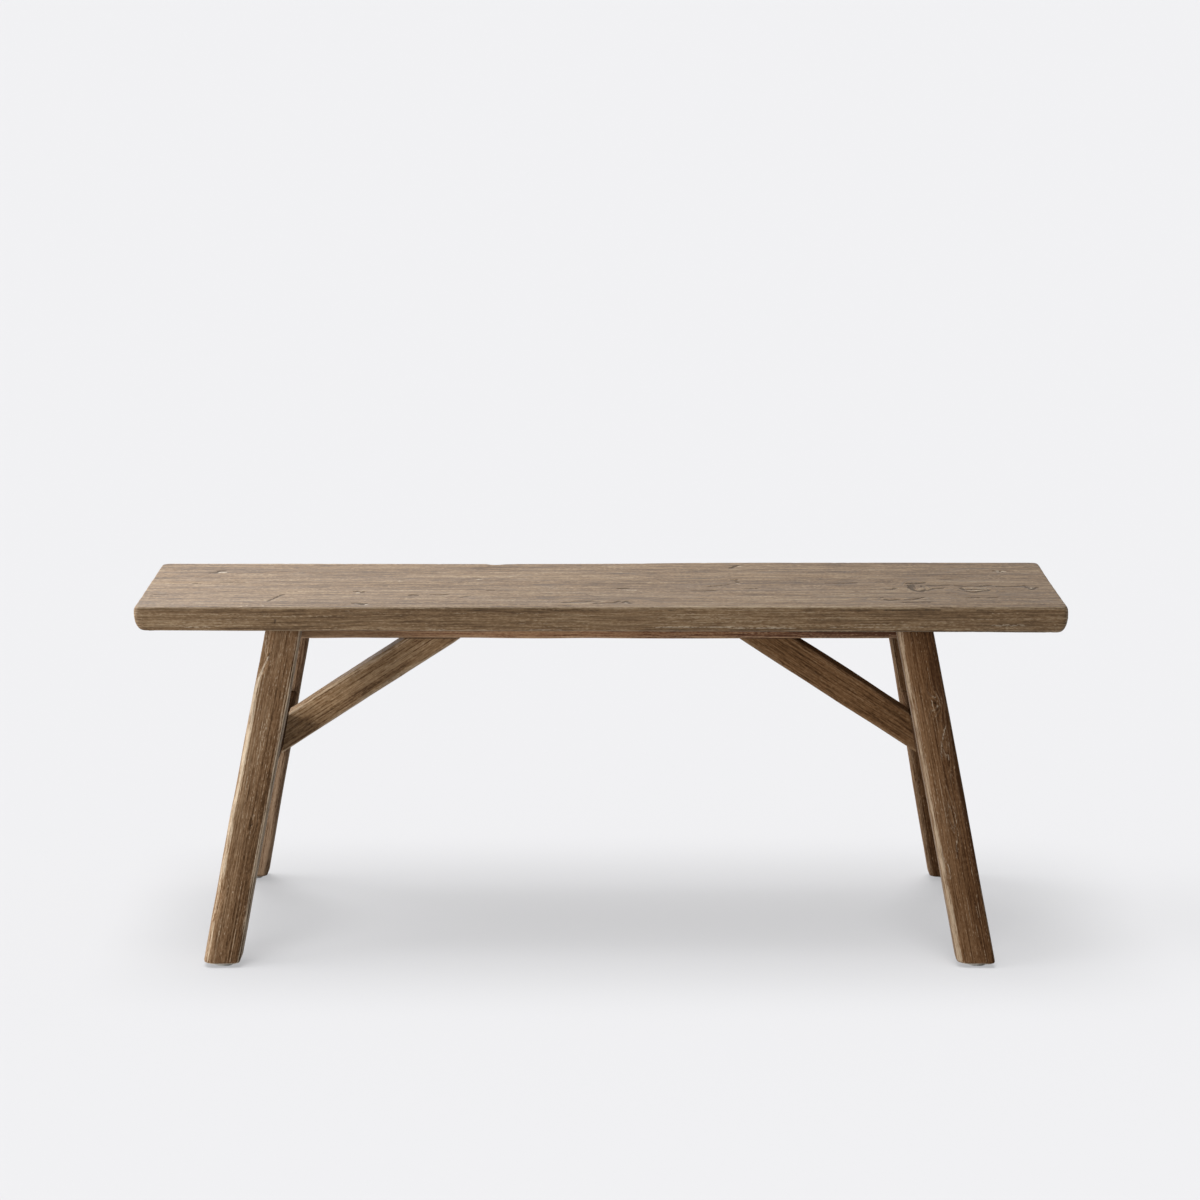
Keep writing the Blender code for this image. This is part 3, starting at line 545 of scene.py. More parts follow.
# %% Values that a piece of stock keeps for its material
def dress_stock(mesh, stock, size, ends, seed, pith, spacing, knots=(), gouges=(), nicks=(),
                worn=((1.0, 1.0), (1.0, 1.0)), edge_reach=0.008):
    """Pushes the grain's relief out of the faces and returns the values for the material. The
    relief fades to nothing near the two end planes, so joints stay tight. The edge value is 1
    where both distances to the side faces are small, times the weight of that long edge, from
    the weights given, which are ((low left, low right), (high left, high right)) where sideways
    points right. The weights stand partly for wear and partly for painted highlight: edges that
    are weighted up are painted pale as if lit."""
    points = vectors(mesh.vertices, "co")
    along, across, up = ((points - stock.middle) @ axis
                         for axis in (stock.along, stock.sideways, stock.upward))
    places = np.stack((along, across, up), -1)
    grain = part_round_knots(places, knots)
    rings = ring_count(places, pith, spacing, knots, seed)
    edge_distance = np.maximum(size[0] / 2 - np.abs(across), size[1] / 2 - np.abs(up))
    edge = 1 - fade(edge_distance, 0.0005, edge_reach)
    edge *= np.where(up < 0, np.where(across < 0, *worn[0]), np.where(across < 0, *worn[1]))
    pits, flecks = drawn(along, across, gouges), drawn(along, across, nicks)
    free = np.ones(len(points))
    for plane in ends:
        free *= fade((plane.point - points) @ plane.normal, 0.0, 0.006)
    push_out(mesh, (brushed_height(grain, seed + 1) - GOUGE_DEPTH * pits) * free)
    return {"grain": grain, "rings": rings, "edge": edge, "pits": pits, "flecks": flecks,
            "figure": knot_figure(places, knots)}


# %% [markdown]
# ## The legs
# Each leg leans out to the end and to the side, is cut level under the seat and at the foot, and
# goes into the seat with a square stub. On the real bench the long edges are rounded by hand, more
# on one edge than another, no leg is quite straight, and the front left one has a facet hewn
# under the seat. So every edge has its own radius at the top and the foot, the run may lean and
# bow, and the facet is cut from the outlines.

# %% Where the legs run
FRAME_SHIFT = {-1: -0.0024, 1: -0.0017}


def end_normal(end):
    """The direction out of an end frame, square to its slope."""
    return np.array((end * math.cos(LEG_END_SPLAY), 0.0, math.sin(LEG_END_SPLAY)))


def leg_stock(end, side):
    """Nearly the line of the CAD leg: sideways points to the bench's end, upward to its side. The
    frame of each end stands a little left of true, as on the real bench."""
    top = np.array((end * LEG_TOP_X + FRAME_SHIFT[end], side * LEG_TOP_Y, SEAT_UNDERSIDE))
    run = np.array((-end * math.tan(LEG_END_SPLAY), -side * math.tan(LEG_SIDE_SPLAY), 1.0))
    run /= np.linalg.norm(run)
    outer = end_normal(end)
    return Stock(top, outer, end * side * np.cross(run, outer), run)


def leg_inner_face(end, side):
    """The face that looks at the other leg of the same end."""
    stock = leg_stock(end, side)
    return Plane(stock.middle - stock.upward * LEG_THICKNESS / 2, stock.upward)


# %% One leg
LegWear = namedtuple("LegWear", "top_radii foot_radii top_lean foot_lean wider bow worn seed "
                                "knots gouges nicks", defaults=((), ()))
LEG_STATIONS, FACET_STATIONS = 190, 40
FACET_WIDTH, FACET_NONE, FACET_FULL = 0.013, 0.815, 0.905
LEAST_RADIUS, MOST_RADIUS = 0.002, 0.014


def between(foot, top, shares):
    """Values that change evenly from the foot to the top."""
    return foot + shares * np.subtract(top, foot)


def uneven(shares, amount, length, seed):
    """Factors round 1 that change smoothly along the run, in waves of about the given length."""
    return 1 + amount * waves(np.stack([shares] * 3, -1), (length, 9, 9), seed)


def hewn(outlines, shares):
    """Cuts the edge between the two outer faces flat near the leg's top: where a point lies past
    the slanted plane, both its coordinates shrink by half of what it is past it."""
    wide = FACET_WIDTH * fade(shares, FACET_NONE, FACET_FULL) ** 0.7
    limit = LEG_THICKNESS - np.maximum(wide, 1e-5)[:, None]
    past = np.maximum(outlines.sum(-1) - limit, 0)
    return outlines - past[..., None] / 2


def leg_skin(end, side, wear, facet=False):
    """Rings from the foot up: the eased foot edge, the shaft, the step to the stub, the stub. The
    leans shift the foot and the top outwards, the bow shifts the middle by half a sine wave, and
    wider adds to the face's width at the top and the foot."""
    stock = leg_stock(end, side)
    shares = np.linspace(0, 1, LEG_STATIONS)
    if facet:
        shares = np.unique(np.concatenate((shares, np.linspace(0.80, 0.92, FACET_STATIONS))))
    radii = between(wear.foot_radii, wear.top_radii, shares[:, None])
    radii = radii * uneven(shares, 0.12, 0.3, wear.seed)[:, None]
    ease = drawn_in(shares * (RAIL_TOP - FOOT_HEIGHT), FOOT_EASE, FOOT_EASE)
    thickness = LEG_THICKNESS - 2 * ease
    width = thickness + between(wear.wider[1], wear.wider[0], shares)
    outlines = stock_outline(width, thickness, np.clip(radii, LEAST_RADIUS, MOST_RADIUS))
    if facet:
        outlines = hewn(outlines, shares)
    lean = between(wear.foot_lean, wear.top_lean, shares)
    outlines[..., 0] += (lean + wear.bow * np.sin(np.pi * shares))[:, None]
    shaft = carried(stock, outlines, shares, level(FOOT_HEIGHT), level(RAIL_TOP))
    return stock, with_stub(stock, shaft, end, side)


def with_stub(stock, shaft, end, side):
    """Adds the square stub that enters the seat, upright and in line with the bench."""
    top_middle = stock.middle + stock.along * ((RAIL_TOP - SEAT_UNDERSIDE) / stock.along[2])
    upright = Stock(top_middle, end * X_AXIS, side * Y_AXIS, Z_AXIS)
    stub = stock_outline(LEG_STUB_SIDE, LEG_STUB_SIDE, [TENON_ARRIS] * 4)
    heights = (RAIL_TOP, SEAT_UNDERSIDE + LEG_STUB_HEIGHT)
    rings = [carried(upright, stub, 0.0, level(height), level(height)) for height in heights]
    return np.concatenate((shaft, *rings))


# %% Make the four legs
# Each leg's edge weights, the pairs just before the seed, are partly wear and partly painted
# highlight: the left edges, which face the lamps, and the inner rear edge of the front left leg are
# weighted up, so that they are painted pale as if lit.
LEG_WEAR = {
    "front_left": LegWear(
        (0.005, 0.0090, 0.0032, 0.005), (0.005, 0.0110, 0.0035, 0.006), 0.0006, 0.0001,
        (0.0, 0.0), 0.0003, ((3.5, 1.1), (0.9, 1.1)), 101,
        [Knot(-0.262, -0.0055, 0.014, 0.006, 0.6, 1.4)],
        [(0.9, 1.8, -261, -6.8, -263, -4.5), (0.7, 1.6, -41, 13.0, -50, 12.5)],
        [(0.6, 1.6, -46, 13.4, -62, 17.7, -77, 19.9), (0.4, 1.6, -15, 21, -42, 18)]),
    "front_right": LegWear(
        (0.006, 0.0035, 0.0080, 0.005), (0.006, 0.0035, 0.0095, 0.006), 0.0009, -0.0002,
        (0.0003, 0.0013), 0.0002, ((1.2, 0.2), (1.2, 0.2)), 151,
        [Knot(-0.107, 0.0095, 0.012, 0.008, 0.6, 2.0),
         Knot(-0.165, 0.013, 0.036, 0.005, 0.5, 1.7),
         Knot(-0.255, 0.004, 0.030, 0.005, 0.5, 1.6)],
        [(0.7, 2.6, -105, 8, -107, 11), (0.5, 2.2, -128, 2, -131, 12),
         (0.5, 2.0, -112, 14, -120, 12)],
        [(0.36, 1.5, -109, 4, -101, 7, -98, 12), (0.32, 1.5, -104, 16, -112, 11),
         (0.40, 1.4, -138, 17, -150, 11, -163, 7, -178, 4),
         (0.28, 1.4, -142, 18, -160, 17, -180, 13), (0.34, 1.5, -244, 8, -260, 8, -275, 2),
         (0.30, 1.5, -282, 4, -307, 0), (0.38, 2.0, -303, -16, -317, -12, -331, -13)]),
    "rear_left": LegWear(
        (0.006, 0.007, 0.006, 0.006), (0.006, 0.007, 0.005, 0.006), -0.0005, 0.0015,
        (0.0, 0.0), 0.0002, ((0.3, 0.6), (0.3, 0.6)), 201,
        [Knot(-0.170, 0.006, 0.015, 0.007, 0.6, 1.0)]),
    "rear_right": LegWear(
        (0.006, 0.006, 0.006, 0.006), (0.006, 0.005, 0.006, 0.006), 0.0, -0.0003,
        (0.0, 0.0), -0.0003, ((1.0, 0.2), (1.0, 0.2)), 251,
        [Knot(-0.230, -0.005, 0.020, 0.009, 0.6, 1.4)]),
}
CORNERS = [(-1, -1, "front_left"), (1, -1, "front_right"),
           (-1, 1, "rear_left"), (1, 1, "rear_right")]
LEG_ENDS = (level(RAIL_TOP), Plane(Z_AXIS * FOOT_HEIGHT, -Z_AXIS))

for end, side, name in CORNERS:
    wear = LEG_WEAR[name]
    stock, rings = leg_skin(end, side, wear, facet=name == "front_left")
    mesh = closed_mesh(f"brushed_{name}_leg", *capped(rings))
    values = dress_stock(mesh, stock, (LEG_THICKNESS, LEG_THICKNESS), LEG_ENDS, wear.seed,
                         pith=(0.045 * end, -0.070), spacing=0.0042, knots=wear.knots,
                         gouges=wear.gouges, nicks=wear.nicks, worn=wear.worn, edge_reach=0.012)
    wooden_piece(f"{name}_leg", mesh, values)

# %% [markdown]
# ## Rails, stretchers and braces
# The cross rails and stretchers run between the legs of one end, the centre rail runs between the
# top rails, and the braces rise from the stretchers to the centre rail. Each has a shoulder and a
# tenon at both ends. They could be left as the CAD solids, but their light edges and brushed
# faces show from the side, so they are carried outlines too.

# %% Where the rails and braces run
def end_slope(end):
    """The direction up an end frame."""
    return np.array((-end * math.sin(LEG_END_SPLAY), 0.0, math.cos(LEG_END_SPLAY)))


def frame_point(end, height):
    """The middle of an end frame at a height: the leg's top plus the splay's run-out."""
    run_out = (SEAT_UNDERSIDE - height) * math.tan(LEG_END_SPLAY)
    return np.array((end * (LEG_TOP_X + run_out) + FRAME_SHIFT[end], 0.0, height))


def top_rail_stock(end):
    """A section with a level top and slanted sides: both its directions are stretched by one over
    the splay's cosine."""
    middle = frame_point(end, RAIL_TOP - TOP_RAIL_SIZE[1] / 2)
    slant = math.cos(LEG_END_SPLAY)
    return Stock(middle, X_AXIS / slant, end_slope(end) / slant, Y_AXIS)


def stretcher_stock(end):
    """A section that leans with the end frame."""
    return Stock(frame_point(end, STRETCHER_HEIGHT), end_normal(end), end_slope(end), Y_AXIS)


def inner_face(end, stock, thickness):
    """The face of a cross rail that looks at the middle of the bench."""
    return Plane(stock.middle - end_normal(end) * thickness / 2, end_normal(end))


BRACE_DROP = {-1: 0.0012, 1: 0.0002}


def brace_stock(end):
    """The run from a stretcher's inner face up and inwards at the brace's slope, a little lower
    than true, as on the real bench."""
    along = np.array((-end * math.cos(BRACE_SLOPE), 0.0, math.sin(BRACE_SLOPE)))
    upward = np.array((end * math.sin(BRACE_SLOPE), 0.0, math.cos(BRACE_SLOPE)))
    foot = inner_face(end, stretcher_stock(end), STRETCHER_SIZE[0]).point
    return Stock(foot - Z_AXIS * BRACE_DROP[end], Y_AXIS, upward, along)


# %% One timber with a tenon at both ends
Tenon = namedtuple("Tenon", "stock size face")
RAIL_FACE_STEPS = 20


def shoulders(tenons):
    """The planes where the body meets the joined faces, a glue gap before each."""
    return [shifted(tenon.face, -GAP) for tenon in tenons]


def tenoned_rings(stock, size, radius, stations, tenons, bow, seed):
    """Rings of a tenon, the body between its two shoulders, and the other tenon."""
    shares = np.linspace(0, 1, stations)
    radii = radius * uneven(shares, 0.15, 0.25, seed)
    outlines = stock_outline(*size, np.stack([radii] * 4, -1), RAIL_FACE_STEPS)
    outlines = outlines + (np.sin(np.pi * shares)[:, None] * np.array(bow))[:, None]
    body = carried(stock, outlines, shares, *shoulders(tenons))
    ends = []
    for tenon in tenons:
        shape = stock_outline(*tenon.size[:2], [TENON_ARRIS] * 4, RAIL_FACE_STEPS)
        ends.append([carried(tenon.stock, shape, 0.0, plane, plane) for plane in (
            shifted(tenon.face, tenon.size[2]), shifted(tenon.face, -GAP))])
    return np.concatenate((*ends[0], body, *ends[1][::-1]))


def square(stock):
    """The stock with its directions made square to each other and one long."""
    along = stock.along / np.linalg.norm(stock.along)
    sideways = stock.sideways - (stock.sideways @ along) * along
    sideways = sideways / np.linalg.norm(sideways)
    upward = np.cross(along, sideways)
    upward = upward * np.sign(upward @ stock.upward)
    return Stock(stock.middle, sideways, upward, along)


def make_timber(node, slot, stock, size, tenons, radius, stations, seed, bow=(0.0, 0.0),
                bores=(), **grain):
    """Carries the rings, takes out any bores, then works out the grain and makes the piece."""
    rings = tenoned_rings(stock, size, radius, stations, tenons, bow, seed)
    mesh = closed_mesh(f"brushed_{node}", *capped(rings))
    if bores:
        mesh = bored(mesh, bores, RAIL_TOP - size[1])
    values = dress_stock(mesh, square(stock), size, shoulders(tenons), seed, **grain)
    wooden_piece(node, mesh, values)


# %% Make the stretchers and the braces
ENDS = [(-1, "left"), (1, "right")]
BRACE_KNOTS = {"left": [Knot(0.215, 0.006, 0.030, 0.010, 0.5, 1.4)],
               "right": [Knot(0.225, -0.004, 0.024, 0.011, 0.7, 2.4)]}
centre_stock = Stock(Z_AXIS * (RAIL_TOP - CENTRE_RAIL_SIZE[1] / 2), Y_AXIS, Z_AXIS, X_AXIS)
centre_underside = RAIL_TOP - CENTRE_RAIL_SIZE[1]

for end, word in ENDS:
    stock = stretcher_stock(end)
    tenons = [Tenon(stock, STRETCHER_TENON, leg_inner_face(end, side)) for side in (-1, 1)]
    make_timber(f"{word}_stretcher", "rail_wood", stock, STRETCHER_SIZE, tenons, radius=0.003,
                stations=110, seed=300 + end, pith=(0.02, 0.09), spacing=0.0045,
                knots=[Knot(0.05 * end, 0.0, 0.02, 0.01, 0.6, 1.2)])

    stock = brace_stock(end)
    foot_stock = Stock(stock.middle, Y_AXIS, Z_AXIS, X_AXIS)
    rise = centre_underside - stock.middle[2]
    top_stock = Stock(stock.middle + stock.along * rise / stock.along[2], Y_AXIS, end * X_AXIS,
                      Z_AXIS)
    foot_face = inner_face(end, stretcher_stock(end), STRETCHER_SIZE[0])
    tenons = [Tenon(foot_stock, BRACE_FOOT_TENON, foot_face),
              Tenon(top_stock, BRACE_TOP_TENON, level(centre_underside))]
    make_timber(f"{word}_brace", "brace_wood", stock, BRACE_SIZE, tenons, radius=0.003,
                stations=120, seed=350 + end, bow=(0.0, 0.0003), pith=(0.015, -0.060),
                spacing=0.0040, knots=BRACE_KNOTS[word])

# %% [markdown]
# ## Rails with screw holes
# The top rails and the centre rail are screwed to the seat from below, through counterbored
# holes that show from a low angle. The holes could be painted on, but real ones catch real
# shadow, so a cutter takes them out of the skin before the grain is worked out.

# %% Rails and their counterbores
BORE_RADIUS, BORE_DEPTH, BORE_SIDES = 0.006, 0.012, 32
BORE_START = -0.004


def bored(mesh, places, underside):
    """The mesh with an upright round hole at each place: one exact Boolean against cylinders,
    whose rings go round a circle at two heights."""
    angle = np.linspace(0, 2 * np.pi, BORE_SIDES, endpoint=False)
    circle = BORE_RADIUS * np.stack((np.cos(angle), np.sin(angle)), -1)
    target, cutters = linked("bored", mesh), []
    for place in places:
        rings = np.array([np.column_stack((place[:2] + circle, np.full(BORE_SIDES, height)))
                          for height in (underside + BORE_START, underside + BORE_DEPTH)])
        cutter = linked("bore", closed_mesh("bore", *capped(rings)))
        cutters.append(cutter)
        carve = target.modifiers.new("bore", "BOOLEAN")
        carve.operation, carve.solver, carve.object = "DIFFERENCE", "EXACT", cutter
    bpy.context.view_layer.update()
    evaluated = target.evaluated_get(bpy.context.evaluated_depsgraph_get())
    result = bpy.data.meshes.new_from_object(evaluated)
    for item in (target, *cutters):
        bpy.data.objects.remove(item)
    return result


for end, word in ENDS:
    stock = top_rail_stock(end)
    tenon_stock = stock._replace(middle=stock.middle - stock.upward * TOP_TENON_DROP)
    tenons = [Tenon(tenon_stock, TOP_TENON, leg_inner_face(end, side)) for side in (-1, 1)]
    bores = [stock.middle + Y_AXIS * side * 0.055 for side in (-1, 1)]
    make_timber(f"{word}_top_rail", "rail_wood", stock, TOP_RAIL_SIZE, tenons, radius=0.0022,
                stations=80, seed=400 + end, bores=bores, pith=(0.03, -0.07), spacing=0.0045)

CENTRE_SCREWS = ("left_rail_screw", "middle_seat_screw", "right_rail_screw")
bores = [np.mean(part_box(node), axis=0) for node in CENTRE_SCREWS]
faces = [inner_face(end, top_rail_stock(end), TOP_RAIL_SIZE[0]) for end in (-1, 1)]
tenons = [Tenon(centre_stock, CENTRE_TENON, face) for face in faces]
make_timber("centre_rail", "rail_wood", centre_stock, CENTRE_RAIL_SIZE, tenons, radius=0.0022,
            stations=200, seed=420, bores=bores, pith=(0.05, 0.03), spacing=0.0045,
            knots=[Knot(-0.239, 0.0, 0.012, 0.012, 0.5, 1.0)])

# %% [markdown]
# ## A small language for materials
# A material is a graph of nodes, and its sums get long when every Math node is wired by hand.
# This wrapper lets a socket stand in an ordinary Python expression, so 1 - mask adds one Math
# node, and one method makes every other kind of node.

# %% Sockets as numbers
class Term:
    """One output socket, which sums and products can use like a number."""

    def __init__(self, look, socket):
        self.look, self.socket = look, socket

    def __add__(self, other):
        return self.look.math("ADD", self, other)

    def __sub__(self, other):
        return self.look.math("SUBTRACT", self, other)

    def __rsub__(self, other):
        return self.look.math("SUBTRACT", other, self)

    def __mul__(self, other):
        return self.look.math("MULTIPLY", self, other)

    __radd__, __rmul__ = __add__, __mul__


class Look:
    """A node tree with its output node, and the methods that add nodes to it."""

    def __init__(self, holder, output_kind):
        holder.use_nodes = True
        self.holder, self.tree = holder, holder.node_tree
        self.tree.nodes.clear()
        self.end = self.tree.nodes.new(output_kind)

    def node(self, kind, settings=None, sockets=None, output=0):
        """Adds a node, sets its settings, then its sockets' values or links, and gives one of its
        outputs. A ramp's stops are given as a list of (position, colour)."""
        made = self.tree.nodes.new("ShaderNode" + kind)
        for name, value in (settings or {}).items():
            if name == "stops":
                self.fill_ramp(made.color_ramp, value)
            else:
                setattr(made, name, value)
        for name, value in (sockets or {}).items():
            if isinstance(value, Term):
                self.tree.links.new(value.socket, made.inputs[name])
            else:
                made.inputs[name].default_value = value
        return Term(self, made.outputs[output])

    def fill_ramp(self, ramp, stops):
        while len(ramp.elements) < len(stops):
            ramp.elements.new(0.5)
        for element, (position, colour) in zip(ramp.elements, stops):
            element.position, element.color = position, colour

    def math(self, operation, first, second=0.0):
        return self.node("Math", {"operation": operation}, {0: first, 1: second})

    def step(self, value, low, high):
        """0 below low and 1 above high, with a smooth change between."""
        return self.node("MapRange", {"interpolation_type": "SMOOTHSTEP"},
                         {"Value": value, "From Min": low, "From Max": high})

    def dot(self, first, second):
        return self.node("VectorMath", {"operation": "DOT_PRODUCT"}, {0: first, 1: second},
                         "Value")

    def mix(self, factor, first, second):
        return self.node("Mix", {"data_type": "RGBA"}, {0: factor, 6: first, 7: second}, 2)

    def ramp(self, value, stops):
        return self.node("ValToRGB", {"stops": stops}, {"Fac": value})

    def attribute(self, name, output="Fac"):
        return self.node("Attribute", {"attribute_name": name}, output=output)

    def finish(self, shader):
        self.tree.links.new(shader.socket, self.end.inputs["Surface"])
        return self.holder

    def principled(self, height, sockets):
        """Finishes with a surface that is bumped by a height in metres."""
        bump = self.node("Bump", {}, {"Height": height, "Distance": 1.0, "Strength": 1.0})
        return self.finish(self.node("BsdfPrincipled", {}, {"Normal": bump, **sockets}))


def material_look(name):
    """The look of a new material."""
    return Look(bpy.data.materials.new(name), "ShaderNodeOutputMaterial")


def paint(red, green, blue):
    """A colour as it is seen on a screen, 0 to 255, as the linear values that a shader needs."""
    values = np.array((red, green, blue)) / 255
    linear = np.where(values <= 0.04045, values / 12.92, ((values + 0.055) / 1.055) ** 2.4)
    return (*linear.tolist(), 1.0)


# %% [markdown]
# ## Brushed, weathered wood
# The real finish is old wood brushed with wire: soft early wood is rubbed away, hard late wood
# stands up, dark dirt stays in the pores, and rubbed edges are paler. A picture of wood would
# repeat and smear at the edges. Instead long, stretched noises follow the grain places kept on
# each mesh, the ring count draws the late wood, and the same values drive colour, gloss and bump.
# Some pale edges, lines and flecks are painted highlights, some dark lines are painted shade, and
# a few pieces are painted lighter or darker overall, or lighter towards one side, as painted light.

# %% The wood's material
Tones = namedtuple("Tones", "dark middle light edge fleck")


def wood_look(name, seed, tones, fine=0.0014, broad=1.0, slant=(0.0, 0.0), wear=0.3, ringed=0.3,
              pale_rings=False, gloss=0.0, fuzz=0.0):
    """Brushed wood. Fine is the width of the grain's marks, and broad widens them across the
    board's face but not in its thickness, as rings do where they lie flat in a plank. Slant is how
    much lighter the wood grows per metre along and across, which is painted light: a piece is
    painted lighter towards where more light falls on it. Wear is how pale the edges are, partly
    wear and partly painted highlight, ringed how dark the rings are at a knot, or how pale, and
    fuzz how much the brushed-up fibres shine at a grazing angle."""
    look = material_look(name)
    grain = look.attribute("grain", "Vector")
    rings, edge, pits, flecks, figure = map(look.attribute, (
        "rings", "edge", "pits", "flecks", "figure"))

    def fibres(long, wide, detail, shift, broad=broad):
        """Noise around 0 whose spots are long by wide, in metres, and broader across the face."""
        stretched = look.node("Mapping", {}, {
            "Vector": grain, "Location": (seed + shift, shift * 1.7, seed - shift),
            "Scale": (1 / long, 1 / (wide * broad), 1 / wide)})
        return look.node("TexNoise", {}, {"Vector": stretched, "Scale": 1.0, "Detail": detail,
                                          "Roughness": 0.6}) - 0.5

    clouds = fibres(0.42, 0.050, 2.0, 3.1, 1.0)
    streaks = fibres(0.28, 0.0085, 2.0, 7.7)
    lines = fibres(0.15, fine, 1.0, 11.3)
    dashes = fibres(0.030, fine, 1.0, 17.9)
    specks = fibres(0.0045, fine, 1.0, 37.3)
    crack_field = fibres(0.26, 0.0075, 2.0, 23.5)
    crack_places = fibres(0.09, 0.030, 1.0, 29.1, 1.0)

    phase = look.math("FRACT", rings + streaks * 0.4)

    def share_of_ring(*stops):
        """A number that changes over each ring, by stops of (place in the ring, number)."""
        greys = [(place, (grey, grey, grey, 1)) for place, grey in stops]
        return look.node("RGBToBW", {}, {"Color": look.ramp(phase, greys)})

    late = share_of_ring((0.0, 0.1), (0.62, 0), (0.84, 1), (0.94, 1), (1.0, 0.1))
    early = share_of_ring((0.0, 0.2), (0.10, 1), (0.34, 0), (1.0, 0.2))
    tone = (0.52 + look.dot(grain, (*slant, 0.0)) + clouds * 0.55 + streaks * 0.38 + lines
            + dashes * 0.95 + specks * 0.65)
    colour = look.ramp(tone, [(0.20, tones.dark), (0.52, tones.middle), (0.84, tones.light)])
    cracks = ((1 - look.step(look.math("ABSOLUTE", crack_field), 0.0, 0.010))
              * look.step(crack_places, 0.02, 0.14))
    pores = look.step(dashes + lines * 0.5, 0.15, 0.24)
    dust = look.step(specks * 0.7 + lines - dashes * 0.5, 0.18, 0.30)
    # Pale edges: partly wear and partly painted highlight, through the edge weights and the wear
    # amount.
    worn = look.step(edge + lines * 1.6 + dashes + specks * 0.4, 0.50, 1.10)
    broken = look.step(specks + dashes, -0.10, 0.12)
    # The darkest mask darkens pits and gouges, and the painted shade lines that the seat carries
    # among them.
    hollow_and_shade = look.step(pits + specks * 1.2 + dashes * 0.6, 0.38, 0.72)
    # The fleck mask paints pale flecks: nicks, and the painted highlights that the seat carries
    # among them.
    chipped_and_highlit = look.step(flecks + specks - dashes * 0.5, 0.20, 0.50) * flecks
    darkest = (*(0.35 * value for value in tones.dark[:3]), 1.0)
    ring_tone = tones.edge if pale_rings else darkest
    for share, tint in ((late * (0.10 + figure * 0.30), tones.dark),
                        (late * figure * figure * broken * ringed, ring_tone),
                        (early * (0.06 + figure * 0.60), tones.light),
                        (worn * wear, tones.edge), (cracks * 0.80, tones.dark),
                        (pores * 0.50, tones.dark), (dust * 0.35, tones.edge),
                        (chipped_and_highlit * 0.90, tones.fleck), (hollow_and_shade * 0.72, darkest)):
        colour = look.mix(share, colour, tint)

    height = (late * 0.00005 + lines * 0.00012 + dashes * 0.00008 + streaks * 0.00012
              + figure * late * 0.0002 - cracks * 0.00025 - pores * 0.00010 - hollow_and_shade * 0.0003
              + chipped_and_highlit * 0.0002)
    return look.principled(height, {
        "Base Color": colour, "Specular IOR Level": gloss, "Sheen Weight": fuzz,
        "Sheen Roughness": 0.3, "Sheen Tint": (1.0, 0.86, 0.70, 1.0),
        "Roughness": 0.52 + streaks * 0.12 - late * 0.06 + hollow_and_shade * 0.2})


# %% Dress the wooden pieces
def tones(dark, middle, light, edge, gain=1.0):
    """Tones from screen colours, all but the fleck's made lighter or darker by the same gain."""
    scaled = [(*(gain * value for value in paint(*colour)[:3]), 1.0)
              for colour in (dark, middle, light, edge)]
    return Tones(*scaled, paint(226, 212, 190))


SEAT_TONES = tones((82, 60, 36), (120, 94, 65), (154, 130, 100), (184, 166, 140))
LEG_TONES = tones((74, 53, 35), (120, 91, 65), (152, 125, 97), (218, 200, 175))
# The gains paint light and shade: the rear left leg, the centre rail and the left brace are made
# lighter as if better lit, and the right legs, the right brace and the hidden top rails and
# stretchers darker as if in shade.
LIT_REAR_LEFT_TONES = tones((68, 48, 33), (108, 82, 60), (158, 131, 106), (200, 176, 150), 1.15)
SHADED_RIGHT_LEG_TONES = tones((73, 48, 30), (112, 80, 53), (146, 112, 81), (212, 190, 162), 0.88)
LIT_RAIL_TONES = tones((80, 50, 34), (140, 104, 76), (172, 138, 106), (190, 162, 132), 1.4)
SHADED_HIDDEN_TONES = tones((80, 50, 34), (130, 97, 71), (160, 128, 98), (170, 140, 110), 0.5)
LIT_LEFT_BRACE_TONES = tones((94, 69, 46), (148, 117, 84), (184, 154, 119), (204, 182, 154), 1.17)
SHADED_RIGHT_BRACE_TONES = tones((88, 62, 40), (138, 102, 69), (168, 132, 96), (180, 150, 118), 0.81)

# Slant paints light here: the centre rail is lighter towards its left end, the front legs towards
# their left sides, and the rear left leg towards its foot. The wear of the front legs and the left
# brace also paints their lit edges pale.
WOODS = {
    "seat_plank": dict(tones=SEAT_TONES, broad=4.5, wear=0.35, ringed=0.9, gloss=0.3, fuzz=0.05),
    "centre_rail": dict(tones=LIT_RAIL_TONES, slant=(-0.75, 0.0), gloss=0.15, fuzz=0.15),
    "front_left_leg": dict(tones=LEG_TONES, slant=(0.0, 4.0), wear=0.65, fuzz=0.8),
    "rear_left_leg": dict(tones=LIT_REAR_LEFT_TONES, slant=(-0.8, 0.0), wear=0.5, fuzz=0.3),
    "front_right_leg": dict(tones=SHADED_RIGHT_LEG_TONES, slant=(-0.2, -8.0), wear=0.8, ringed=0.5,
                            pale_rings=True, fuzz=0.8),
    "rear_right_leg": dict(tones=SHADED_RIGHT_LEG_TONES, wear=0.2, fuzz=0.3),
    "left_brace": dict(tones=LIT_LEFT_BRACE_TONES, fine=0.0020, wear=0.7, gloss=0.1, fuzz=0.3),
    "right_brace": dict(tones=SHADED_RIGHT_BRACE_TONES, fine=0.0018),
}
for node in ("left_top_rail", "right_top_rail", "left_stretcher", "right_stretcher"):
    WOODS[node] = dict(tones=SHADED_HIDDEN_TONES)


def give(item, material):
    """Makes the material the item's only one."""
    item.data.materials.clear()
    item.data.materials.append(material)


for number, (node, choices) in enumerate(WOODS.items()):
    give(pieces[node], wood_look(f"brushed_wood_{node}", 5.0 + 3.7 * number, **choices))
print("wooden pieces dressed:", len(WOODS))

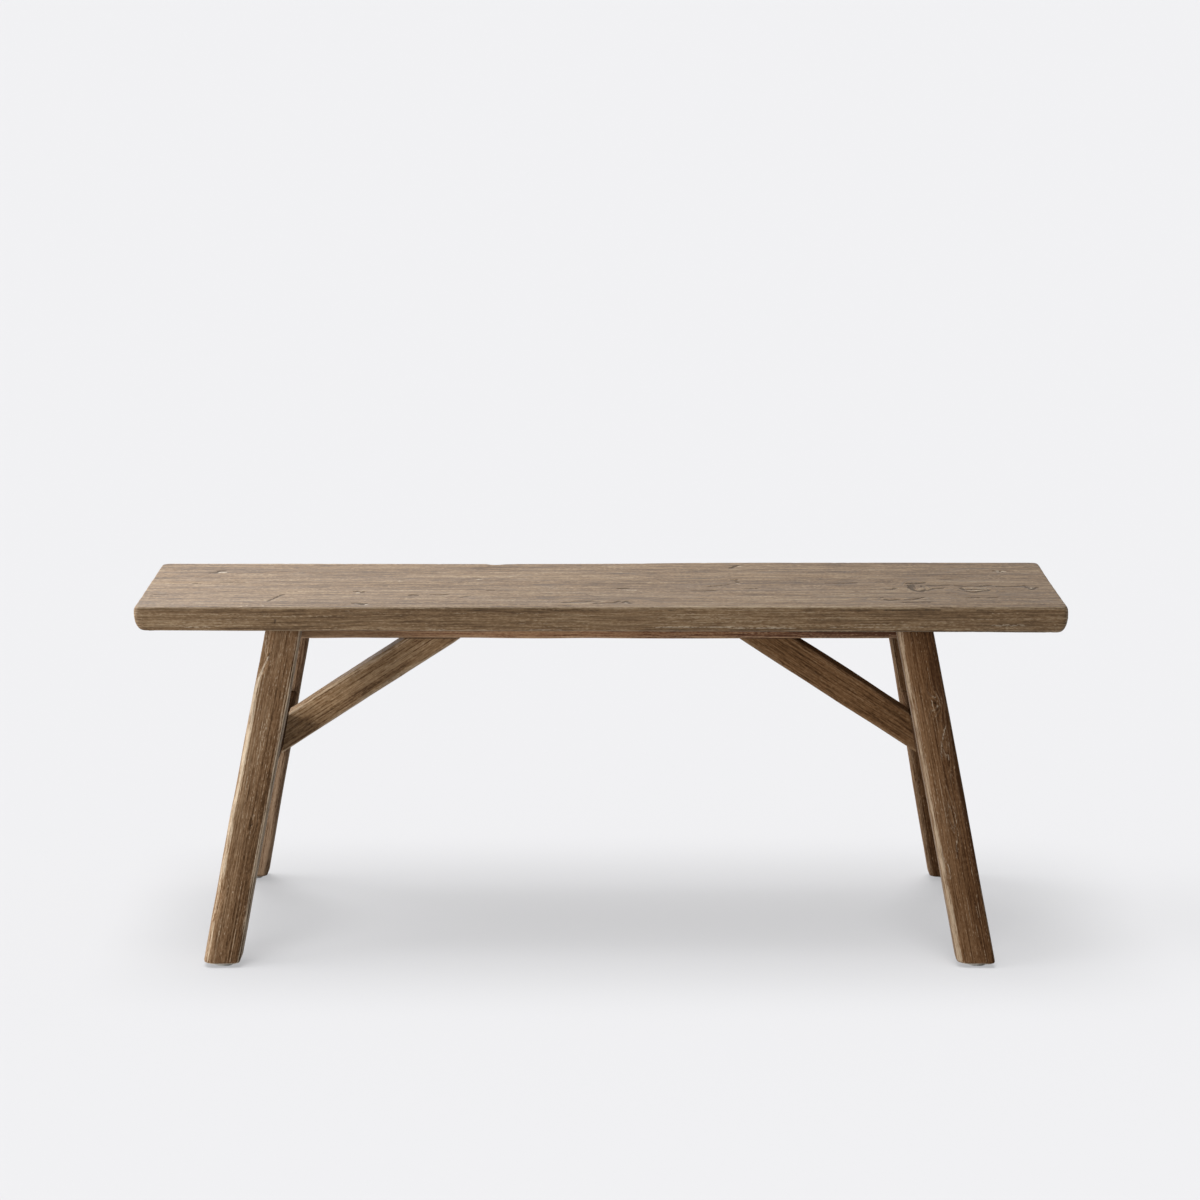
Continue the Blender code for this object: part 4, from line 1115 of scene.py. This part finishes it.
# %% [markdown]
# ## Screws, nails and glides
# The fixings and the nylon glides have the right shapes in the CAD part, so those solids stay and
# only get better materials: zinc plate with a mottled bloom, bright nail steel, and nylon that is
# scuffed in spots.

# %% Steel and nylon
def speckle(look, size, detail, shift=0.0):
    """Noise around 0 on the object's own coordinates, with spots of the given size in metres."""
    place = look.node("TexCoord", output="Object")
    shifted_place = look.node("Mapping", {}, {"Vector": place, "Location": (shift, shift, shift)})
    return look.node("TexNoise", {}, {"Vector": shifted_place, "Scale": 1 / size,
                                      "Detail": detail}) - 0.5


Speckles = namedtuple("Speckles", "spot change grit shift relief metallic")


def speckled_look(name, first, second, roughness, speckles):
    """A surface that changes in spots from the first colour to the second, and in roughness, with
    a finer grit for its relief."""
    look = material_look(name)
    spots = speckle(look, speckles.spot, 3.0)
    grit = speckle(look, speckles.grit, 2.0, speckles.shift)
    return look.principled(grit * speckles.relief, {
        "Base Color": look.mix(look.step(spots, *speckles.change), paint(*first), paint(*second)),
        "Metallic": speckles.metallic, "Roughness": roughness + spots * 0.3})


STEEL = Speckles(0.0035, (-0.15, 0.15), 0.0005, 4.0, 0.00003, 1.0)
NYLON = Speckles(0.004, (-0.05, 0.25), 0.0006, 9.0, 0.00004, 0.0)
FIXINGS = {
    "_screw": speckled_look("zinc_plate", (150, 148, 142), (196, 194, 188), 0.34, STEEL),
    "_nail": speckled_look("nail_steel", (160, 160, 160), (200, 200, 200), 0.28, STEEL),
    "_glide": speckled_look("scuffed_nylon", (214, 212, 205), (186, 182, 172), 0.52, NYLON)}
for node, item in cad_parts.items():
    for ending, material in FIXINGS.items():
        if node.endswith(ending):
            give(item, material)
print("fixings and glides dressed:", len([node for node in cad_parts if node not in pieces]))

# %% [markdown]
# ## Floor, backdrop and light
# In the picture the bench stands on a seamless pale floor with soft light from the left, and
# its shadow is broad and faint. A curved studio sheet would shade towards its far edge, so the
# floor is one large flat sheet, like a table lit from below as well as from above, and the
# backdrop has the floor's own lit colour. The sky is brighter on the left than on the right, with
# a glowing patch low at the back. Sun lamps light the floor alone, and three square lamps on the
# left light all but the floor, so the bench's light doesn't wash out its shadow.

# %% The world's light
BACKDROP = paint(241, 241, 243)
SKY_BASE, SKY_LEAN = 0.48, (-0.30, 0.10, 0.12)
WALL_TOWARDS, WALL_GLOW = (-0.35, 0.94, 0.0), 0.85

world = bpy.data.worlds.new("soft_studio")
bpy.context.scene.world = world
sky = Look(world, "ShaderNodeOutputWorld")
direction = sky.node("TexCoord", output="Generated")
wall = sky.step(sky.dot(direction, WALL_TOWARDS), 0.86, 0.99) * WALL_GLOW
brightness = SKY_BASE + sky.dot(direction, SKY_LEAN) + wall
glow = sky.node("Background", {}, {"Color": (1, 1, 1, 1), "Strength": brightness})
seen = sky.node("Background", {}, {"Color": BACKDROP, "Strength": 1.0})
camera_ray = sky.node("LightPath", output="Is Camera Ray")
sky.finish(sky.node("MixShader", {}, {0: camera_ray, 1: glow, 2: seen}))
print("light from straight above:", SKY_BASE + SKY_LEAN[2])

# %% The floor, whose lit top meets the backdrop
TUBE_LIGHT, SIDE_LIGHT = 0.50, 0.25
SHADED_SHARE, FLOOR_REACH = 0.52, 60
light_on_floor = SKY_BASE + SKY_LEAN[2] * 2 / 3 + 3 * TUBE_LIGHT + SIDE_LIGHT
floor_colour = (*(value / light_on_floor for value in BACKDROP[:3]), 1.0)
print("floor colour:", [round(value, 3) for value in floor_colour[:3]])

floor_mesh = bpy.data.meshes.new("floor")
corners = [(FLOOR_REACH * x, FLOOR_REACH * y, 0) for x, y in ((-1, -1), (1, -1), (1, 1), (-1, 1))]
floor_mesh.from_pydata(corners, [], [(0, 1, 2, 3)])
floor = linked("floor", floor_mesh)

look = material_look("pale_floor")
matt = look.node("BsdfDiffuse", {}, {"Color": floor_colour})
lit_from_below = look.node("Emission", {}, {"Color": BACKDROP})
unlit = look.node("BsdfDiffuse", {}, {"Color": (0, 0, 0, 1)})
mirrored = look.math("MAXIMUM", look.node("LightPath", output="Is Camera Ray"),
                     look.node("LightPath", output="Is Glossy Ray"))
own_glow = look.node("MixShader", {}, {0: mirrored, 1: unlit, 2: lit_from_below})
top = look.node("MixShader", {}, {0: SHADED_SHARE, 1: own_glow, 2: matt})
from_below = look.node("NewGeometry", output="Backfacing")
clear = look.node("BsdfTransparent")
floor_mesh.materials.append(look.finish(
    look.node("MixShader", {}, {0: from_below, 1: top, 2: clear})))


# %% The lamps
def lamp(name, kind, settings, place, towards, lit):
    """Adds a lamp that shines against a direction, on the floor alone or on all but the floor."""
    data = bpy.data.lights.new(name, kind)
    for setting, value in settings.items():
        setattr(data, setting, value)
    item = linked(name, data)
    item.location = place
    item.rotation_mode = "QUATERNION"
    item.rotation_quaternion = Vector(towards).to_track_quat("Z", "Y")
    receivers = bpy.data.collections.new(f"{name}_receivers")
    receivers.objects.link(floor)
    item.light_linking.receiver_collection = receivers
    receivers.collection_objects[0].light_linking.link_state = lit


FLOOR_LAMPS = {"front_tube": ((-0.09, -0.44, 1.0), 26.0, TUBE_LIGHT),
               "middle_tube": ((-0.09, 0.0, 1.0), 26.0, TUBE_LIGHT),
               "back_tube": ((-0.09, 0.44, 1.0), 26.0, TUBE_LIGHT),
               "side_tube": ((-1.1, 0.0, 1.0), 40.0, SIDE_LIGHT)}
for name, (towards, angle, share) in FLOOR_LAMPS.items():
    strength = share * math.pi * np.linalg.norm(towards)
    lamp(name, "SUN", {"energy": strength, "angle": math.radians(angle)}, (0, 0, 3), towards,
         "INCLUDE")
BENCH_MIDDLE = np.array((0.0, 0.0, 0.35))
SOFTBOXES = {"front_left_box": ((-2.6, -2.0, 0.55), 1.2, 53.0),
             "left_box": ((-2.0, 0.5, 1.2), 1.0, 36.0),
             "high_left_box": ((-0.9, 0.9, 1.9), 1.1, 22.0)}
for name, (place, size, power) in SOFTBOXES.items():
    lamp(name, "AREA", {"shape": "SQUARE", "size": size, "energy": power}, place,
         np.array(place) - BENCH_MIDDLE, "EXCLUDE")
print("lamps:", *FLOOR_LAMPS, *SOFTBOXES)

# %% [markdown]
# ## The camera
# The photograph was taken from in front, a little above the seat, from far enough away that the
# legs hardly converge. The place, the tilt and the lens come from fitting the bench's outline.

# %% Make the camera
camera_data = bpy.data.cameras.new("camera")
camera_data.lens, camera_data.sensor_width = 127.81, 36.0
camera = linked("camera", camera_data)
camera.location = (-0.0007, -5.541, 1.3737)
camera.rotation_euler = (math.radians(80.35), 0.0, 0.0)
bpy.context.scene.camera = camera
bpy.context.scene.view_settings.view_transform = "Standard"
print("camera at", [round(value, 3) for value in camera.location])
